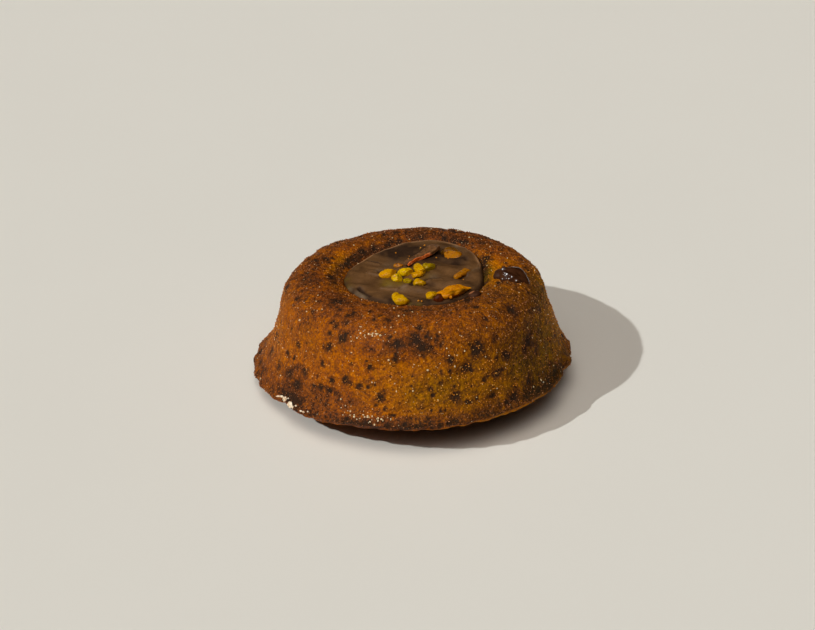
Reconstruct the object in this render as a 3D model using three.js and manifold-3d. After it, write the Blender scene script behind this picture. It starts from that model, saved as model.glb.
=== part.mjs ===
// A small moulded marble cake with a well of chocolate ganache and candied citrus on top.
// Millimetres, +Z up, -Y towards the viewer, +X to the right.
// The origin is the middle of the flat spot on the domed underside that the cake rests on.
// Angles round the cake start at the front and grow to the right.

import * as THREE from 'three';
import { mergeVertices } from 'three/addons/utils/BufferGeometryUtils.js';
import Module from 'manifold-3d';

const wasm = await Module();
wasm.setup();

const TAU = 2 * Math.PI;
const degrees = THREE.MathUtils.degToRad;

// Driving dimensions of the crust: radii from the cake's own axis, heights along it
const LIP_RADIUS = 38.6;
const LIP_HEIGHT = 5.8;
const LIP_THICKNESS = 1.9;
const LIP_GROUND_GAP = 0.35;
const WAIST_RADIUS = 35.5;
const WAIST_HEIGHT = 13.4;
const MID_RADIUS = 33.4;
const MID_HEIGHT = 20.6;
const SHOULDER_RADIUS = 32.2;
const SHOULDER_HEIGHT = 24.8;
const CREST_RADIUS = 24.6;
const CREST_HEIGHT = 29.4;
const REST_SPOT_RADIUS = 13;
const UNDERSIDE_SWELL = 1.7;

// The well in the top and the ganache that fills it
const WELL_CENTRE = new THREE.Vector2(1.2, 1.8);
const WELL_MEAN_RADIUS = 17.9;
const WELL_OUTLINE = [16.2, 18.1, 18.5, 16.8, 17.6, 18.2, 18.0, 15.9, 15.9, 17.6, 17.0, 16.0];
const WELL_DEPTH = 8.6;
const CONTACT_HEIGHT = 27.3;
const REAR_RISE = 0.033;
const FIT_GAP = 0.38;
const POCKET_GAP = 0.47;
const GANACHE_EDGE_HEIGHT = 0.75;
const GANACHE_ROUNDING = 1.0;

// The cake sits tipped back and to the left on its underside
const LEAN_BACK = degrees(5.14);
const LEAN_LEFT = degrees(3.43);
const lean = new THREE.Matrix4()
  .makeRotationX(-LEAN_BACK)
  .multiply(new THREE.Matrix4().makeRotationY(-LEAN_LEFT));

// Mesh steps round the cake and along each stretch of its profile
const CAKE_SEGMENTS = 96;
const GANACHE_SEGMENTS = 68;
const REST_STEPS = 3;
const UNDERSIDE_STEPS = 5;
const LIP_STEPS = 5;
const SIDE_STEPS = 14;
const SLOPE_STEPS = 4;
const WELL_STEPS = 6;
const GANACHE_TOP_STEPS = 11;

// How far the lip runs out of round and out of level: waves, their swell and where they point
const LIP_WANDER = [
  { turns: 1, swell: 1.35, towards: degrees(-137) },
  { turns: 2, swell: 1.7, towards: degrees(71) },
];
const LIP_RISE = [{ turns: 1, swell: 0.25, towards: degrees(10) }];

// Swells at the front of the lip: how far they draw it out and up, and where
const LIP_SWELLS = [
  { out: 0.4, up: 0, towards: degrees(14), spread: degrees(30) },
  { out: 1.9, up: 1.2, towards: degrees(-12), spread: degrees(42) },
];

// The crest stands a little higher on one side
const CREST_RISE = [{ turns: 1, swell: 0.7, towards: degrees(-86) }];

// The upper body stands a little to the right of the lip
const BODY_SHIFT = [{ turns: 1, swell: 0.28, towards: degrees(80) }];

// Places where a piece of chocolate has pulled the crust in, or the lip has broken away.
// along runs up the outside from the lip (0) to the crest (1).
const HOLLOWS = [
  { angle: -2, along: 0.55, radius: 2.3, depth: 0.8 },
  { angle: -12, along: 0.56, radius: 2.0, depth: 0.7 },
  { angle: -43, along: 0.86, radius: 2.4, depth: 0.6 },
  { angle: 24, along: 0.5, radius: 2.6, depth: 0.7 },
  { angle: 41, along: 0.55, radius: 2.2, depth: 0.7 },
  { angle: 33, along: 0.22, radius: 2.2, depth: 0.6 },
  { angle: -50, along: 0.3, radius: 2.6, depth: 0.7 },
  { angle: 50, along: 0.8, radius: 2.2, depth: 0.6 },
  { angle: -150, along: 0.9, radius: 2.4, depth: 0.7 },
  { angle: 165, along: 0.6, radius: 2.6, depth: 0.7 },
  { angle: 115, along: 0.45, radius: 2.4, depth: 0.7 },
  { angle: -110, along: 0.5, radius: 2.4, depth: 0.7 },
  { angle: 73, along: 0.05, radius: 2.0, depth: 1.3 },
  { angle: -57, along: 0.03, radius: 2.2, depth: 0.9 },
  { angle: 140, along: 0.04, radius: 2.2, depth: 1.1 },
];

// A number from 0 to 1 at each call, the same row of numbers on every run
function seededDraws(seed) {
  let state = seed;
  return () => {
    state = (state * 16807) % 2147483647;
    return state / 2147483647;
  };
}

// Relief made of whole waves round the axis, so that it closes on itself
function waveRelief(seed, fewest, most, step, swell) {
  const draw = seededDraws(seed);
  const waves = [];
  for (let turns = fewest; turns <= most; turns += step) {
    waves.push({
      turns,
      climb: (draw() - 0.5) * 1.4,
      phase: draw() * TAU,
      size: swell * (0.6 + 0.8 * draw()),
    });
  }
  return (angle, height) => waves.reduce(
    (sum, wave) => sum + wave.size * Math.sin(wave.turns * angle + wave.climb * height + wave.phase),
    0,
  );
}

const crustLumps = waveRelief(640, 3, 11, 2, 0.06);
const crustCrags = waveRelief(97, 14, 41, 3, 0.03);
const lipCrags = waveRelief(233, 11, 47, 4, 0.05);
const undersideLumps = waveRelief(59, 2, 17, 3, 0.04);

// Cubic interpolation through values spaced evenly round a circle
function roundInterpolation(values, angle) {
  const count = values.length;
  const place = THREE.MathUtils.euclideanModulo(angle / TAU, 1) * count;
  const whole = Math.floor(place);
  const t = place - whole;
  const [a, b, c, d] = [-1, 0, 1, 2].map((shift) => values[(whole + shift + count) % count]);
  return b + 0.5 * t * (c - a + t * (2 * a - 5 * b + 4 * c - d + t * (3 * (b - c) + d - a)));
}

function smooth(value, low, high) {
  return THREE.MathUtils.smoothstep(value, low, high);
}

// Turns a lathe geometry into a closed mesh: one vertex at each place, no empty triangles
function closed(geometry) {
  geometry.deleteAttribute('uv');
  geometry.deleteAttribute('normal');
  const merged = mergeVertices(geometry, 1e-4);
  const kept = [];
  const index = merged.index.array;
  for (let i = 0; i < index.length; i += 3) {
    const [a, b, c] = [index[i], index[i + 1], index[i + 2]];
    if (a !== b && b !== c && c !== a) kept.push(a, b, c);
  }
  merged.setIndex(kept);
  return merged;
}

// A lathe body whose every vertex is placed by place(target, profilePoint, angle, row)
function placedLathe(profile, segments, place) {
  const geometry = new THREE.LatheGeometry(profile, segments);
  const position = geometry.attributes.position;
  const rows = profile.length;
  const target = new THREE.Vector3();
  for (let i = 0; i < position.count; i++) {
    const row = i % rows;
    const angle = ((Math.floor(i / rows) % segments) / segments) * TAU;
    place(target, profile[row], angle, row);
    position.setXYZ(i, target.x, target.y, target.z);
  }
  return closed(geometry);
}

function solid(geometry) {
  const vertProperties = new Float32Array(geometry.attributes.position.array);
  const triVerts = new Uint32Array(geometry.index.array);
  return new wasm.Manifold(new wasm.Mesh({ numProp: 3, vertProperties, triVerts }));
}

function geometryOf(manifold) {
  const mesh = manifold.getMesh();
  const geometry = new THREE.BufferGeometry();
  geometry.setAttribute('position', new THREE.BufferAttribute(mesh.vertProperties, 3));
  geometry.setIndex(new THREE.BufferAttribute(mesh.triVerts, 1));
  geometry.computeVertexNormals();
  return geometry;
}

// The outside of the crust, from under the lip up to the crest
const outside = new THREE.SplineCurve([
  new THREE.Vector2(LIP_RADIUS - 1.3, LIP_HEIGHT - LIP_THICKNESS),
  new THREE.Vector2(LIP_RADIUS - 0.2, LIP_HEIGHT - 0.45 * LIP_THICKNESS),
  new THREE.Vector2(LIP_RADIUS, LIP_HEIGHT),
  new THREE.Vector2(LIP_RADIUS - 1.2, LIP_HEIGHT + LIP_THICKNESS),
  new THREE.Vector2(WAIST_RADIUS, WAIST_HEIGHT),
  new THREE.Vector2(MID_RADIUS, MID_HEIGHT),
  new THREE.Vector2(SHOULDER_RADIUS, SHOULDER_HEIGHT),
  new THREE.Vector2(0.5 * (SHOULDER_RADIUS + CREST_RADIUS) + 0.6, CREST_HEIGHT - 1.2),
  new THREE.Vector2(CREST_RADIUS, CREST_HEIGHT),
]);
const LIP_SHARE = 0.13;

// From the crest down the inner slope to the line where the ganache meets the crust
const slope = new THREE.SplineCurve([
  new THREE.Vector2(CREST_RADIUS, CREST_HEIGHT),
  new THREE.Vector2(WELL_MEAN_RADIUS + 4, CREST_HEIGHT - 0.35),
  new THREE.Vector2(WELL_MEAN_RADIUS + 1.3, CONTACT_HEIGHT + 0.75),
  new THREE.Vector2(WELL_MEAN_RADIUS, CONTACT_HEIGHT - 0.3),
]);

// The wall and floor of the well, which the ganache follows with an even gap
const well = new THREE.SplineCurve([
  new THREE.Vector2(WELL_MEAN_RADIUS, CONTACT_HEIGHT - 0.3),
  new THREE.Vector2(WELL_MEAN_RADIUS - 0.5, CONTACT_HEIGHT - 3),
  new THREE.Vector2(WELL_MEAN_RADIUS - 2.8, CREST_HEIGHT - WELL_DEPTH + 1.4),
  new THREE.Vector2(0.5 * WELL_MEAN_RADIUS, CREST_HEIGHT - WELL_DEPTH + 0.2),
  new THREE.Vector2(0, CREST_HEIGHT - WELL_DEPTH),
]);

function stretch(curve, from, to, steps) {
  const points = [];
  for (let i = 1; i <= steps; i++) {
    points.push(curve.getPointAt(from + ((to - from) * i) / steps));
  }
  return points;
}

function cakeProfile() {
  const points = [new THREE.Vector2(0, 0)];
  for (let i = 1; i <= REST_STEPS + UNDERSIDE_STEPS; i++) {
    points.push(new THREE.Vector2(i, 0));
  }
  points.push(
    outside.getPointAt(0),
    ...stretch(outside, 0, LIP_SHARE, LIP_STEPS),
    ...stretch(outside, LIP_SHARE, 1, SIDE_STEPS),
    ...stretch(slope, 0, 1, SLOPE_STEPS),
    ...stretch(well, 0, 1, WELL_STEPS),
  );
  return points;
}

// Rows of the cake's profile: the rest spot, the underside, the outside, the slope and the well
const LIP_ROW = REST_STEPS + UNDERSIDE_STEPS + 1;
const CREST_ROW = LIP_ROW + LIP_STEPS + SIDE_STEPS;
const CONTACT_ROW = CREST_ROW + SLOPE_STEPS;
const profile = cakeProfile();

// The way out of the crust at a row of the profile
function profileNormal(row) {
  const before = profile[Math.max(row - 1, LIP_ROW)];
  const after = profile[Math.min(row + 1, profile.length - 1)];
  return new THREE.Vector2(after.y - before.y, before.x - after.x).normalize();
}

function sumOfWaves(waves, angle) {
  return waves.reduce(
    (sum, wave) => sum + wave.swell * Math.cos(wave.turns * (angle - wave.towards)),
    0,
  );
}

// How far the swells of the lip reach at an angle; way is out or up
function lipSwell(angle, way) {
  return LIP_SWELLS.reduce((sum, swell) => {
    const away = Math.atan2(Math.sin(angle - swell.towards), Math.cos(angle - swell.towards));
    return sum + swell[way] * Math.exp(-((away / swell.spread) ** 2));
  }, 0);
}

function lipWander(angle) {
  return sumOfWaves(LIP_WANDER, angle) + lipSwell(angle, 'out');
}

function lipRise(angle) {
  return sumOfWaves(LIP_RISE, angle) + lipSwell(angle, 'up');
}

const hollows = HOLLOWS.map(({ angle, along, radius, depth }) => {
  const at = outside.getPointAt(along);
  const turn = degrees(angle);
  const centre = new THREE.Vector3(at.x * Math.sin(turn), -at.x * Math.cos(turn), at.y);
  return { centre, radius, depth };
});

function depthOfHollows(point) {
  return hollows.reduce((sum, { centre, radius, depth }) => {
    const near = point.distanceTo(centre) / radius;
    return sum + depth * Math.exp(-near * near);
  }, 0);
}

// How far the crust stands out of its smooth profile
function crustRelief(point, angle, row) {
  const { y: height } = profile[row];
  const fade = 1 - smooth(row, CREST_ROW, CONTACT_ROW);
  const lumps = crustLumps(angle, height) + crustCrags(angle, 2 * height);
  const rim = Math.exp(-(((height - LIP_HEIGHT) / 1.9) ** 2));
  return fade * (lumps - depthOfHollows(point)) + rim * lipCrags(angle, 0);
}

// Moves a profile point out to its angle; share is how far it follows the well's own outline
function placeRound(target, { x: radius, y: height }, angle, share) {
  const outline = roundInterpolation(WELL_OUTLINE, angle) / WELL_MEAN_RADIUS;
  const stretched = radius * THREE.MathUtils.lerp(1, outline, share);
  target.x = stretched * Math.sin(angle) + share * WELL_CENTRE.x;
  target.y = -stretched * Math.cos(angle) + share * WELL_CENTRE.y;
  const rise = smooth(height, CREST_HEIGHT - WELL_DEPTH, CONTACT_HEIGHT - 2) * REAR_RISE * target.y;
  target.z = height + share * rise;
  return target;
}

// A point of the crust in the cake's own frame
function crustPoint(target, angle, row) {
  const { y: height } = profile[row];
  const inward = smooth(row, CREST_ROW, CONTACT_ROW);
  placeRound(target, profile[row], angle, inward);
  if (row > CONTACT_ROW) return target;
  const normal = profileNormal(row);
  const relief = crustRelief(target, angle, row);
  const rim = Math.exp(-(((height - LIP_HEIGHT) / 4) ** 2)) * (row < CREST_ROW ? 1 : 0);
  const body = smooth(height, LIP_HEIGHT + LIP_THICKNESS, MID_HEIGHT) * (1 - inward);
  const outward = relief * normal.x + rim * lipWander(angle) + body * sumOfWaves(BODY_SHIFT, angle);
  target.x += outward * Math.sin(angle);
  target.y -= outward * Math.cos(angle);
  const top = smooth(height, MID_HEIGHT, CREST_HEIGHT - 1) * (1 - inward);
  target.z += relief * normal.y + rim * lipRise(angle) + top * sumOfWaves(CREST_RISE, angle);
  return target;
}

const lipEdge = new THREE.Vector3();

// The underside swells down from the lip to a flat spot on the table
function undersidePoint(target, angle, row) {
  crustPoint(lipEdge, angle, LIP_ROW).applyMatrix4(lean);
  lipEdge.z = Math.max(lipEdge.z, LIP_GROUND_GAP);
  const flat = Math.min(row / REST_STEPS, 1) * REST_SPOT_RADIUS;
  target.set(flat * Math.sin(angle), -flat * Math.cos(angle), 0);
  if (row <= REST_STEPS) return target;
  const along = (row - REST_STEPS) / (UNDERSIDE_STEPS + 1);
  target.lerp(lipEdge, along);
  const lumps = undersideLumps(angle, 3 * row) * Math.sin(Math.PI * along);
  target.z = Math.max(lipEdge.z * along ** UNDERSIDE_SWELL + lumps, LIP_GROUND_GAP * along);
  return target;
}

function placeCake(target, point, angle, row) {
  if (row < LIP_ROW) return undersidePoint(target, angle, row);
  crustPoint(target, angle, row).applyMatrix4(lean);
  target.z = Math.max(target.z, LIP_GROUND_GAP);
  return target;
}

// The ganache's own profile: up from the middle of its underside, round its edge, over its top
function ganacheProfile() {
  const points = [];
  for (let i = 0; i <= WELL_STEPS; i++) {
    const share = 1 - i / WELL_STEPS;
    const at = well.getPointAt(share);
    const tangent = well.getTangentAt(share);
    const inward = new THREE.Vector2(tangent.y, -tangent.x).multiplyScalar(FIT_GAP);
    points.push(new THREE.Vector2(Math.max(at.x + inward.x, 0), at.y + inward.y));
  }
  const edge = WELL_MEAN_RADIUS - FIT_GAP;
  const top = CONTACT_HEIGHT + GANACHE_EDGE_HEIGHT;
  const flat = edge - GANACHE_ROUNDING;
  points.push(
    new THREE.Vector2(edge - 0.1 * GANACHE_ROUNDING, CONTACT_HEIGHT + 0.1 * GANACHE_ROUNDING),
    new THREE.Vector2(edge - 0.35 * GANACHE_ROUNDING, top - 0.2 * GANACHE_ROUNDING),
    new THREE.Vector2(flat, top),
  );
  for (let i = 1; i <= GANACHE_TOP_STEPS; i++) {
    points.push(new THREE.Vector2(flat * (1 - i / GANACHE_TOP_STEPS), top));
  }
  return points;
}

// Rises and hollows of the ganache's surface
const GANACHE_FORMS = [
  { x: 14.6, y: -10.2, radius: 2.1, height: 1.1 },
  { x: -12.3, y: -6.3, radius: 1.6, height: -0.7 },
  { x: 15.2, y: 10.5, radius: 2.6, height: 0.8 },
  { x: 10.6, y: 11.6, radius: 2.6, height: -1.2 },
  { x: -6.0, y: 11.0, radius: 4.0, height: -0.5 },
  { x: 2.0, y: 4.0, radius: 4.5, height: 0.5 },
  { x: 4.2, y: -9.0, radius: 3.2, height: -0.4 },
];

function ganacheRelief(x, y) {
  const forms = GANACHE_FORMS.reduce((sum, form) => {
    const near = Math.hypot(x - form.x, y - form.y) / form.radius;
    return sum + form.height * Math.exp(-near * near);
  }, 0);
  const ripple = 0.16 * Math.sin(0.55 * x + 0.9 * y) + 0.12 * Math.sin(0.95 * y - 0.35 * x + 1.3);
  return forms + ripple;
}

function placeGanache(target, point, angle, row) {
  placeRound(target, point, angle, 1);
  if (row <= WELL_STEPS + 2) return target;
  const inside = smooth(WELL_MEAN_RADIUS - FIT_GAP - point.x, 0.5, 3);
  target.z += inside * ganacheRelief(target.x, target.y);
  return target;
}

function ganacheTop(x, y) {
  return CONTACT_HEIGHT + GANACHE_EDGE_HEIGHT + REAR_RISE * y + ganacheRelief(x, y);
}

const LUMP_UNEVENNESS = 0.12;

// A rounded lump with uneven sides: half sizes along its own axes, then turned and placed
function lump({ half, turn, x, y, z, seed }) {
  const geometry = closed(new THREE.IcosahedronGeometry(1, 1));
  const draw = seededDraws(seed);
  const position = geometry.attributes.position;
  for (let i = 0; i < position.count; i++) {
    const size = 1 + LUMP_UNEVENNESS * (2 * draw() - 1);
    position.setXYZ(
      i,
      position.getX(i) * half[0] * size,
      position.getY(i) * half[1] * size,
      position.getZ(i) * half[2] * size,
    );
  }
  geometry.rotateZ(degrees(turn));
  geometry.translate(x, y, z);
  return geometry;
}

// Small bits of candied peel half sunk in the ganache: place, length, width, height and turn
const PEEL_BIT_PROUD = 0.3;
const PEEL_BITS = [
  { x: -5.4, y: 1.7, size: [4.6, 3.0, 2.2], turn: 25 },
  { x: -1.2, y: 1.2, size: [4.0, 2.6, 2.2], turn: -25 },
  { x: -3.1, y: -1.6, size: [2.7, 2.5, 2.3], turn: 0 },
  { x: 2.4, y: 1.9, size: [4.4, 2.4, 2.2], turn: 112 },
  { x: 1.8, y: -0.4, size: [3.0, 2.2, 1.8], turn: 10 },
  { x: 4.4, y: 3.0, size: [4.0, 2.6, 2.2], turn: 40 },
  { x: 2.4, y: -4.1, size: [2.8, 2.8, 2.0], turn: 80 },
  { x: -0.6, y: -2.5, size: [1.9, 1.7, 1.2], turn: 0 },
  { x: -2.8, y: 5.6, size: [2.2, 1.4, 1.1], turn: 0 },
  { x: -3.3, y: -10.9, size: [2.6, 2.0, 1.8], turn: 90 },
  { x: -2.3, y: -13.0, size: [4.0, 3.4, 2.4], turn: -20 },
  { x: 5.3, y: -10.8, size: [3.0, 2.2, 1.7], turn: 15 },
  { x: 7.0, y: -12.9, size: [2.6, 2.4, 2.4], turn: 0 },
  { x: 13.0, y: -0.6, size: [5.6, 2.4, 1.8], turn: 52 },
  { x: 10.6, y: 10.7, size: [5.2, 3.8, 2.4], turn: -10 },
  { x: 9.8, y: 13.4, size: [4.6, 2.6, 2.2], turn: 5 },
];

function addPeelBits(ganache) {
  return PEEL_BITS.reduce((whole, { x, y, size, turn }, i) => {
    const half = size.map((length) => length / 2);
    const z = ganacheTop(x, y) + PEEL_BIT_PROUD * half[2];
    return whole.add(solid(lump({ half, turn, x, y, z, seed: 71 + 13 * i })));
  }, ganache);
}

// A ribbon of peel that lies on its left edge, its right edge lifted off the ganache
const STRIP_TIP = new THREE.Vector3(-0.7, 4.6, 27.9);
const STRIP_END = new THREE.Vector3(6.4, 14.2, 28.4);
const STRIP_TIP_WIDTH = 2.0;
const STRIP_END_WIDTH = 3.8;
const STRIP_THICKNESS = 0.8;
const STRIP_ROLL = degrees(10);
const STRIP_LIFT = 1.0;

function peelStrip(grow) {
  const length = STRIP_TIP.distanceTo(STRIP_END) + 2 * grow;
  const geometry = closed(new THREE.BoxGeometry(length, 1, 1, 10, 3, 2));
  const position = geometry.attributes.position;
  for (let i = 0; i < position.count; i++) {
    const along = position.getX(i) / length + 0.5;
    const taper = THREE.MathUtils.lerp(STRIP_TIP_WIDTH, STRIP_END_WIDTH, smooth(along, 0, 0.85));
    const sway = 0.5 * Math.sin(along * 5.2);
    position.setY(i, position.getY(i) * (taper + 2 * grow) + sway);
    const curl = 0.25 * Math.sin(along * 7 + 1);
    position.setZ(i, position.getZ(i) * (STRIP_THICKNESS + 2 * grow) + curl);
  }
  const along = STRIP_END.clone().sub(STRIP_TIP).normalize();
  geometry.rotateX(-STRIP_ROLL);
  geometry.rotateY(-Math.asin(along.z));
  geometry.rotateZ(Math.atan2(along.y, along.x));
  const middle = STRIP_TIP.clone().add(STRIP_END).multiplyScalar(0.5);
  geometry.translate(middle.x, middle.y, middle.z + STRIP_LIFT);
  return geometry;
}

// A large leaf of candied zest, pointed on the right, its near side folded under
const ZEST_CENTRE = new THREE.Vector3(10.9, -10.9, 28.6);
const ZEST_LENGTH = 8.8;
const ZEST_WIDTH = 4.0;
const ZEST_HEIGHT = 2.6;
const ZEST_TURN = degrees(15);
const ZEST_POINT = 0.75;

function candiedZest(grow) {
  const geometry = closed(new THREE.SphereGeometry(1, 18, 12));
  const position = geometry.attributes.position;
  for (let i = 0; i < position.count; i++) {
    const [x, y, z] = [position.getX(i), position.getY(i), position.getZ(i)];
    const ruffle = 1 + 0.12 * Math.sin(5 * x + 2 * y) + 0.08 * Math.sin(9 * x - 3 * z);
    const point = 1 - ZEST_POINT * smooth(x, 0.1, 1);
    const fold = 0.5 * Math.exp(-(((y + 0.35) / 0.3) ** 2)) * (z > 0 ? 1 : 0);
    position.setXYZ(
      i,
      x * (ZEST_LENGTH / 2 + grow),
      y * ((ZEST_WIDTH / 2) * point * ruffle + grow) + 0.35 * Math.sin(2.6 * x),
      z * ((ZEST_HEIGHT / 2) * (1 - fold) * point * ruffle + grow),
    );
  }
  geometry.rotateZ(ZEST_TURN);
  geometry.translate(ZEST_CENTRE.x, ZEST_CENTRE.y, ZEST_CENTRE.z);
  return geometry;
}

// A glossy bean of chocolate set in the right of the shoulder
const DROP_CENTRE = new THREE.Vector3(25.1, -4.6, 27.8);
const DROP_LENGTH = 9.6;
const DROP_WIDTH = 6.8;
const DROP_HEIGHT = 5.0;
const DROP_TILT = degrees(17);
const DROP_TURN = degrees(-12);

function chocolateDrop(grow) {
  const geometry = closed(new THREE.SphereGeometry(1, 20, 12));
  const position = geometry.attributes.position;
  for (let i = 0; i < position.count; i++) {
    const [x, y, z] = [position.getX(i), position.getY(i), position.getZ(i)];
    const bend = 0.9 * (1 - x * x);
    const dent = 1 + 0.08 * Math.sin(4 * x + 1) + 0.06 * Math.sin(5 * y - 2 * x);
    position.setXYZ(
      i,
      x * (DROP_LENGTH / 2 + grow),
      y * ((DROP_WIDTH / 2) * (1 - 0.18 * x) * dent + grow) + bend,
      z * ((DROP_HEIGHT / 2) * dent + grow),
    );
  }
  geometry.rotateY(DROP_TILT);
  geometry.rotateZ(DROP_TURN);
  geometry.translate(DROP_CENTRE.x, DROP_CENTRE.y, DROP_CENTRE.z);
  return geometry;
}

// A bead of chocolate that ran over the edge of the well
const BEAD = { x: 15.9, y: -12.9, z: 28.1, size: [3.4, 2.8, 2.3], turn: 35 };

function chocolateBead() {
  const half = BEAD.size.map((length) => length / 2);
  return lump({ ...BEAD, half, seed: 401 });
}

function named(name, geometry, color, roughness) {
  const material = new THREE.MeshStandardMaterial({ color, roughness, metalness: 0 });
  const mesh = new THREE.Mesh(geometry, material);
  mesh.name = name;
  return mesh;
}

function cakeMesh() {
  const bead = solid(chocolateBead().applyMatrix4(lean));
  const crust = solid(placedLathe(profile, CAKE_SEGMENTS, placeCake)).add(bead);
  const pockets = [chocolateDrop(POCKET_GAP), candiedZest(POCKET_GAP)];
  const body = pockets.reduce((rest, shape) => rest.subtract(solid(shape.applyMatrix4(lean))), crust);
  return named('cake', geometryOf(body), 0x8a4a12, 0.6);
}

function ganacheMesh() {
  const pool = solid(placedLathe(ganacheProfile(), GANACHE_SEGMENTS, placeGanache));
  const pockets = solid(peelStrip(FIT_GAP)).add(solid(candiedZest(POCKET_GAP)));
  const filled = addPeelBits(pool).subtract(pockets);
  return named('ganache', geometryOf(filled), 0x4f3a2a, 0.35);
}

const toppings = new THREE.Group();
toppings.applyMatrix4(lean);
toppings.add(
  ganacheMesh(),
  named('peel_strip', peelStrip(0), 0xa8431a, 0.45),
  named('candied_zest', candiedZest(0), 0xd08a0c, 0.3),
  named('chocolate_drop', chocolateDrop(0), 0x2c150c, 0.12),
);

const cake = new THREE.Group();
cake.add(cakeMesh(), toppings);

export default cake;
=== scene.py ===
import math
from itertools import count, product

import bpy
import numpy as np
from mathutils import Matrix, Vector
from numpy.random import default_rng


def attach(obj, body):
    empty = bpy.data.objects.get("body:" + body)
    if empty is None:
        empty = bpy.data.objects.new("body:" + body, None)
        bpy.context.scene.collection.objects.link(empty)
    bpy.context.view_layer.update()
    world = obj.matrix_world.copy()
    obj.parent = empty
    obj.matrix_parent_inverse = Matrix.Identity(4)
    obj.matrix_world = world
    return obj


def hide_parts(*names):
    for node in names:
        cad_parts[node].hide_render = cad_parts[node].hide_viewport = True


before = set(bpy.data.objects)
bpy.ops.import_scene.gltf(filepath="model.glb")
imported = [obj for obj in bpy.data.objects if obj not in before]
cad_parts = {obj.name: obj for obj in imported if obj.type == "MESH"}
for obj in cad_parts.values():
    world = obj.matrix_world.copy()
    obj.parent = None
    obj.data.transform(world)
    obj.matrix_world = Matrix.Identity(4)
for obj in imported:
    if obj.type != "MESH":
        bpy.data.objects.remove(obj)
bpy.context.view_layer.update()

TAU = 2 * math.pi
MM = 0.001

# Driving dimensions of the crust: radii from the cake's own axis, heights along it
LIP_RADIUS = 38.6
LIP_HEIGHT = 5.8
LIP_THICKNESS = 1.9
LIP_GROUND_GAP = 0.35
WAIST_RADIUS = 35.5
WAIST_HEIGHT = 13.4
MID_RADIUS = 33.4
MID_HEIGHT = 20.6
SHOULDER_RADIUS = 32.2
SHOULDER_HEIGHT = 24.8
CREST_RADIUS = 24.6
CREST_HEIGHT = 29.4
REST_SPOT_RADIUS = 13.0
UNDERSIDE_SWELL = 1.7

# The well in the top and the ganache that fills it
WELL_CENTRE = (1.2, 1.8)
WELL_MEAN_RADIUS = 17.9
WELL_OUTLINE = [16.2, 18.1, 18.5, 16.8, 17.6, 18.2, 18.0, 15.9, 15.9, 17.6, 17.0, 16.0]
WELL_DEPTH = 8.6
CONTACT_HEIGHT = 27.3
REAR_RISE = 0.033
GANACHE_EDGE_HEIGHT = 0.75
GANACHE_TOP = CONTACT_HEIGHT + GANACHE_EDGE_HEIGHT

# Degrees that the cake is tipped back and to the left on its underside
LEAN_BACK = 5.14
LEAN_LEFT = 3.43

# Waves of the lip and the crest: whole turns, swell, and the angle they point to
LIP_WANDER = [(1, 1.35, -137), (2, 1.7, 71)]
LIP_RISE = [(1, 0.25, 10)]
CREST_RISE = [(1, 0.7, -86)]
BODY_SHIFT = [(1, 0.28, 80)]
# Swells at the front of the lip: how far they draw it out and up, where, and over what spread
LIP_SWELLS = [(0.4, 0, 14, 30), (1.9, 1.2, -12, 42)]
LIP_SHARE = 0.13

# Hollows in the crust: angle, share of the way from the lip to the crest, radius, depth
HOLLOWS = [
    (-2, 0.55, 2.3, 0.8), (-12, 0.56, 2.0, 0.7), (-43, 0.86, 2.4, 0.6),
    (24, 0.5, 2.6, 0.7), (41, 0.55, 2.2, 0.7), (33, 0.22, 2.2, 0.6),
    (-50, 0.3, 2.6, 0.7), (50, 0.8, 2.2, 0.6), (-150, 0.9, 2.4, 0.7),
    (165, 0.6, 2.6, 0.7), (115, 0.45, 2.4, 0.7), (-110, 0.5, 2.4, 0.7),
    (73, 0.05, 2.0, 1.3), (-57, 0.03, 2.2, 0.9), (140, 0.04, 2.2, 1.1),
]

# Chocolate flecks baked into the crust: angle, distance from the axis, height, radius
FLECKS = [
    (-48.9, 23.3, 29.5, 1.5), (-5.7, 31.8, 25.6, 1.5), (2.6, 31.6, 25.9, 1.9),
    (5.2, 32.3, 24.6, 1.7), (-6.7, 32.9, 22.1, 1.0), (-17.3, 33.3, 20.1, 0.8),
    (-37.0, 32.7, 22.9, 1.0), (-31.0, 31.7, 25.4, 1.1), (-38.2, 31.2, 25.8, 0.9),
    (-57.7, 36.0, 12.6, 1.2), (-48.7, 35.2, 15.0, 1.0), (-27.5, 34.5, 16.1, 1.2),
    (-21.4, 34.7, 15.2, 0.8), (-34.7, 35.3, 12.8, 1.1), (-12.9, 35.6, 12.9, 0.9),
    (28.4, 33.0, 21.8, 1.8), (36.8, 32.7, 22.5, 0.9), (55.2, 34.0, 18.3, 1.5),
    (51.7, 34.2, 17.1, 1.0), (41.8, 33.8, 17.5, 1.2), (22.0, 33.7, 18.0, 1.5),
    (16.3, 33.5, 20.8, 0.9), (35.1, 35.1, 14.9, 1.1), (28.9, 35.1, 14.2, 0.8),
    (16.4, 35.8, 12.2, 1.3), (31.4, 35.9, 10.2, 0.8), (53.7, 30.5, 25.9, 1.5),
    (40.0, 36.6, 8.3, 1.4), (49.2, 36.5, 9.6, 1.1), (-139.8, 18.8, 28.8, 1.7),
    (-167.0, 20.4, 28.6, 1.2), (148.0, 21.7, 28.6, 1.3), (111.9, 20.0, 27.4, 1.4),
    (-56.5, 33.5, 20.0, 0.7), (-67.9, 36.2, 12.1, 0.9), (-7.4, 36.4, 6.8, 1.0),
    (-52.0, 35.8, 11.2, 1.5), (-110.0, 22.0, 29.0, 0.9),
]
STRAY_FLECKS = 300
# Angle up to which the flecks are listed, so that strays stay small there
FLECKS_KNOWN_TO = 80
# How far a fleck reaches, in its radii
FLECK_REACH = 1.2

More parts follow.
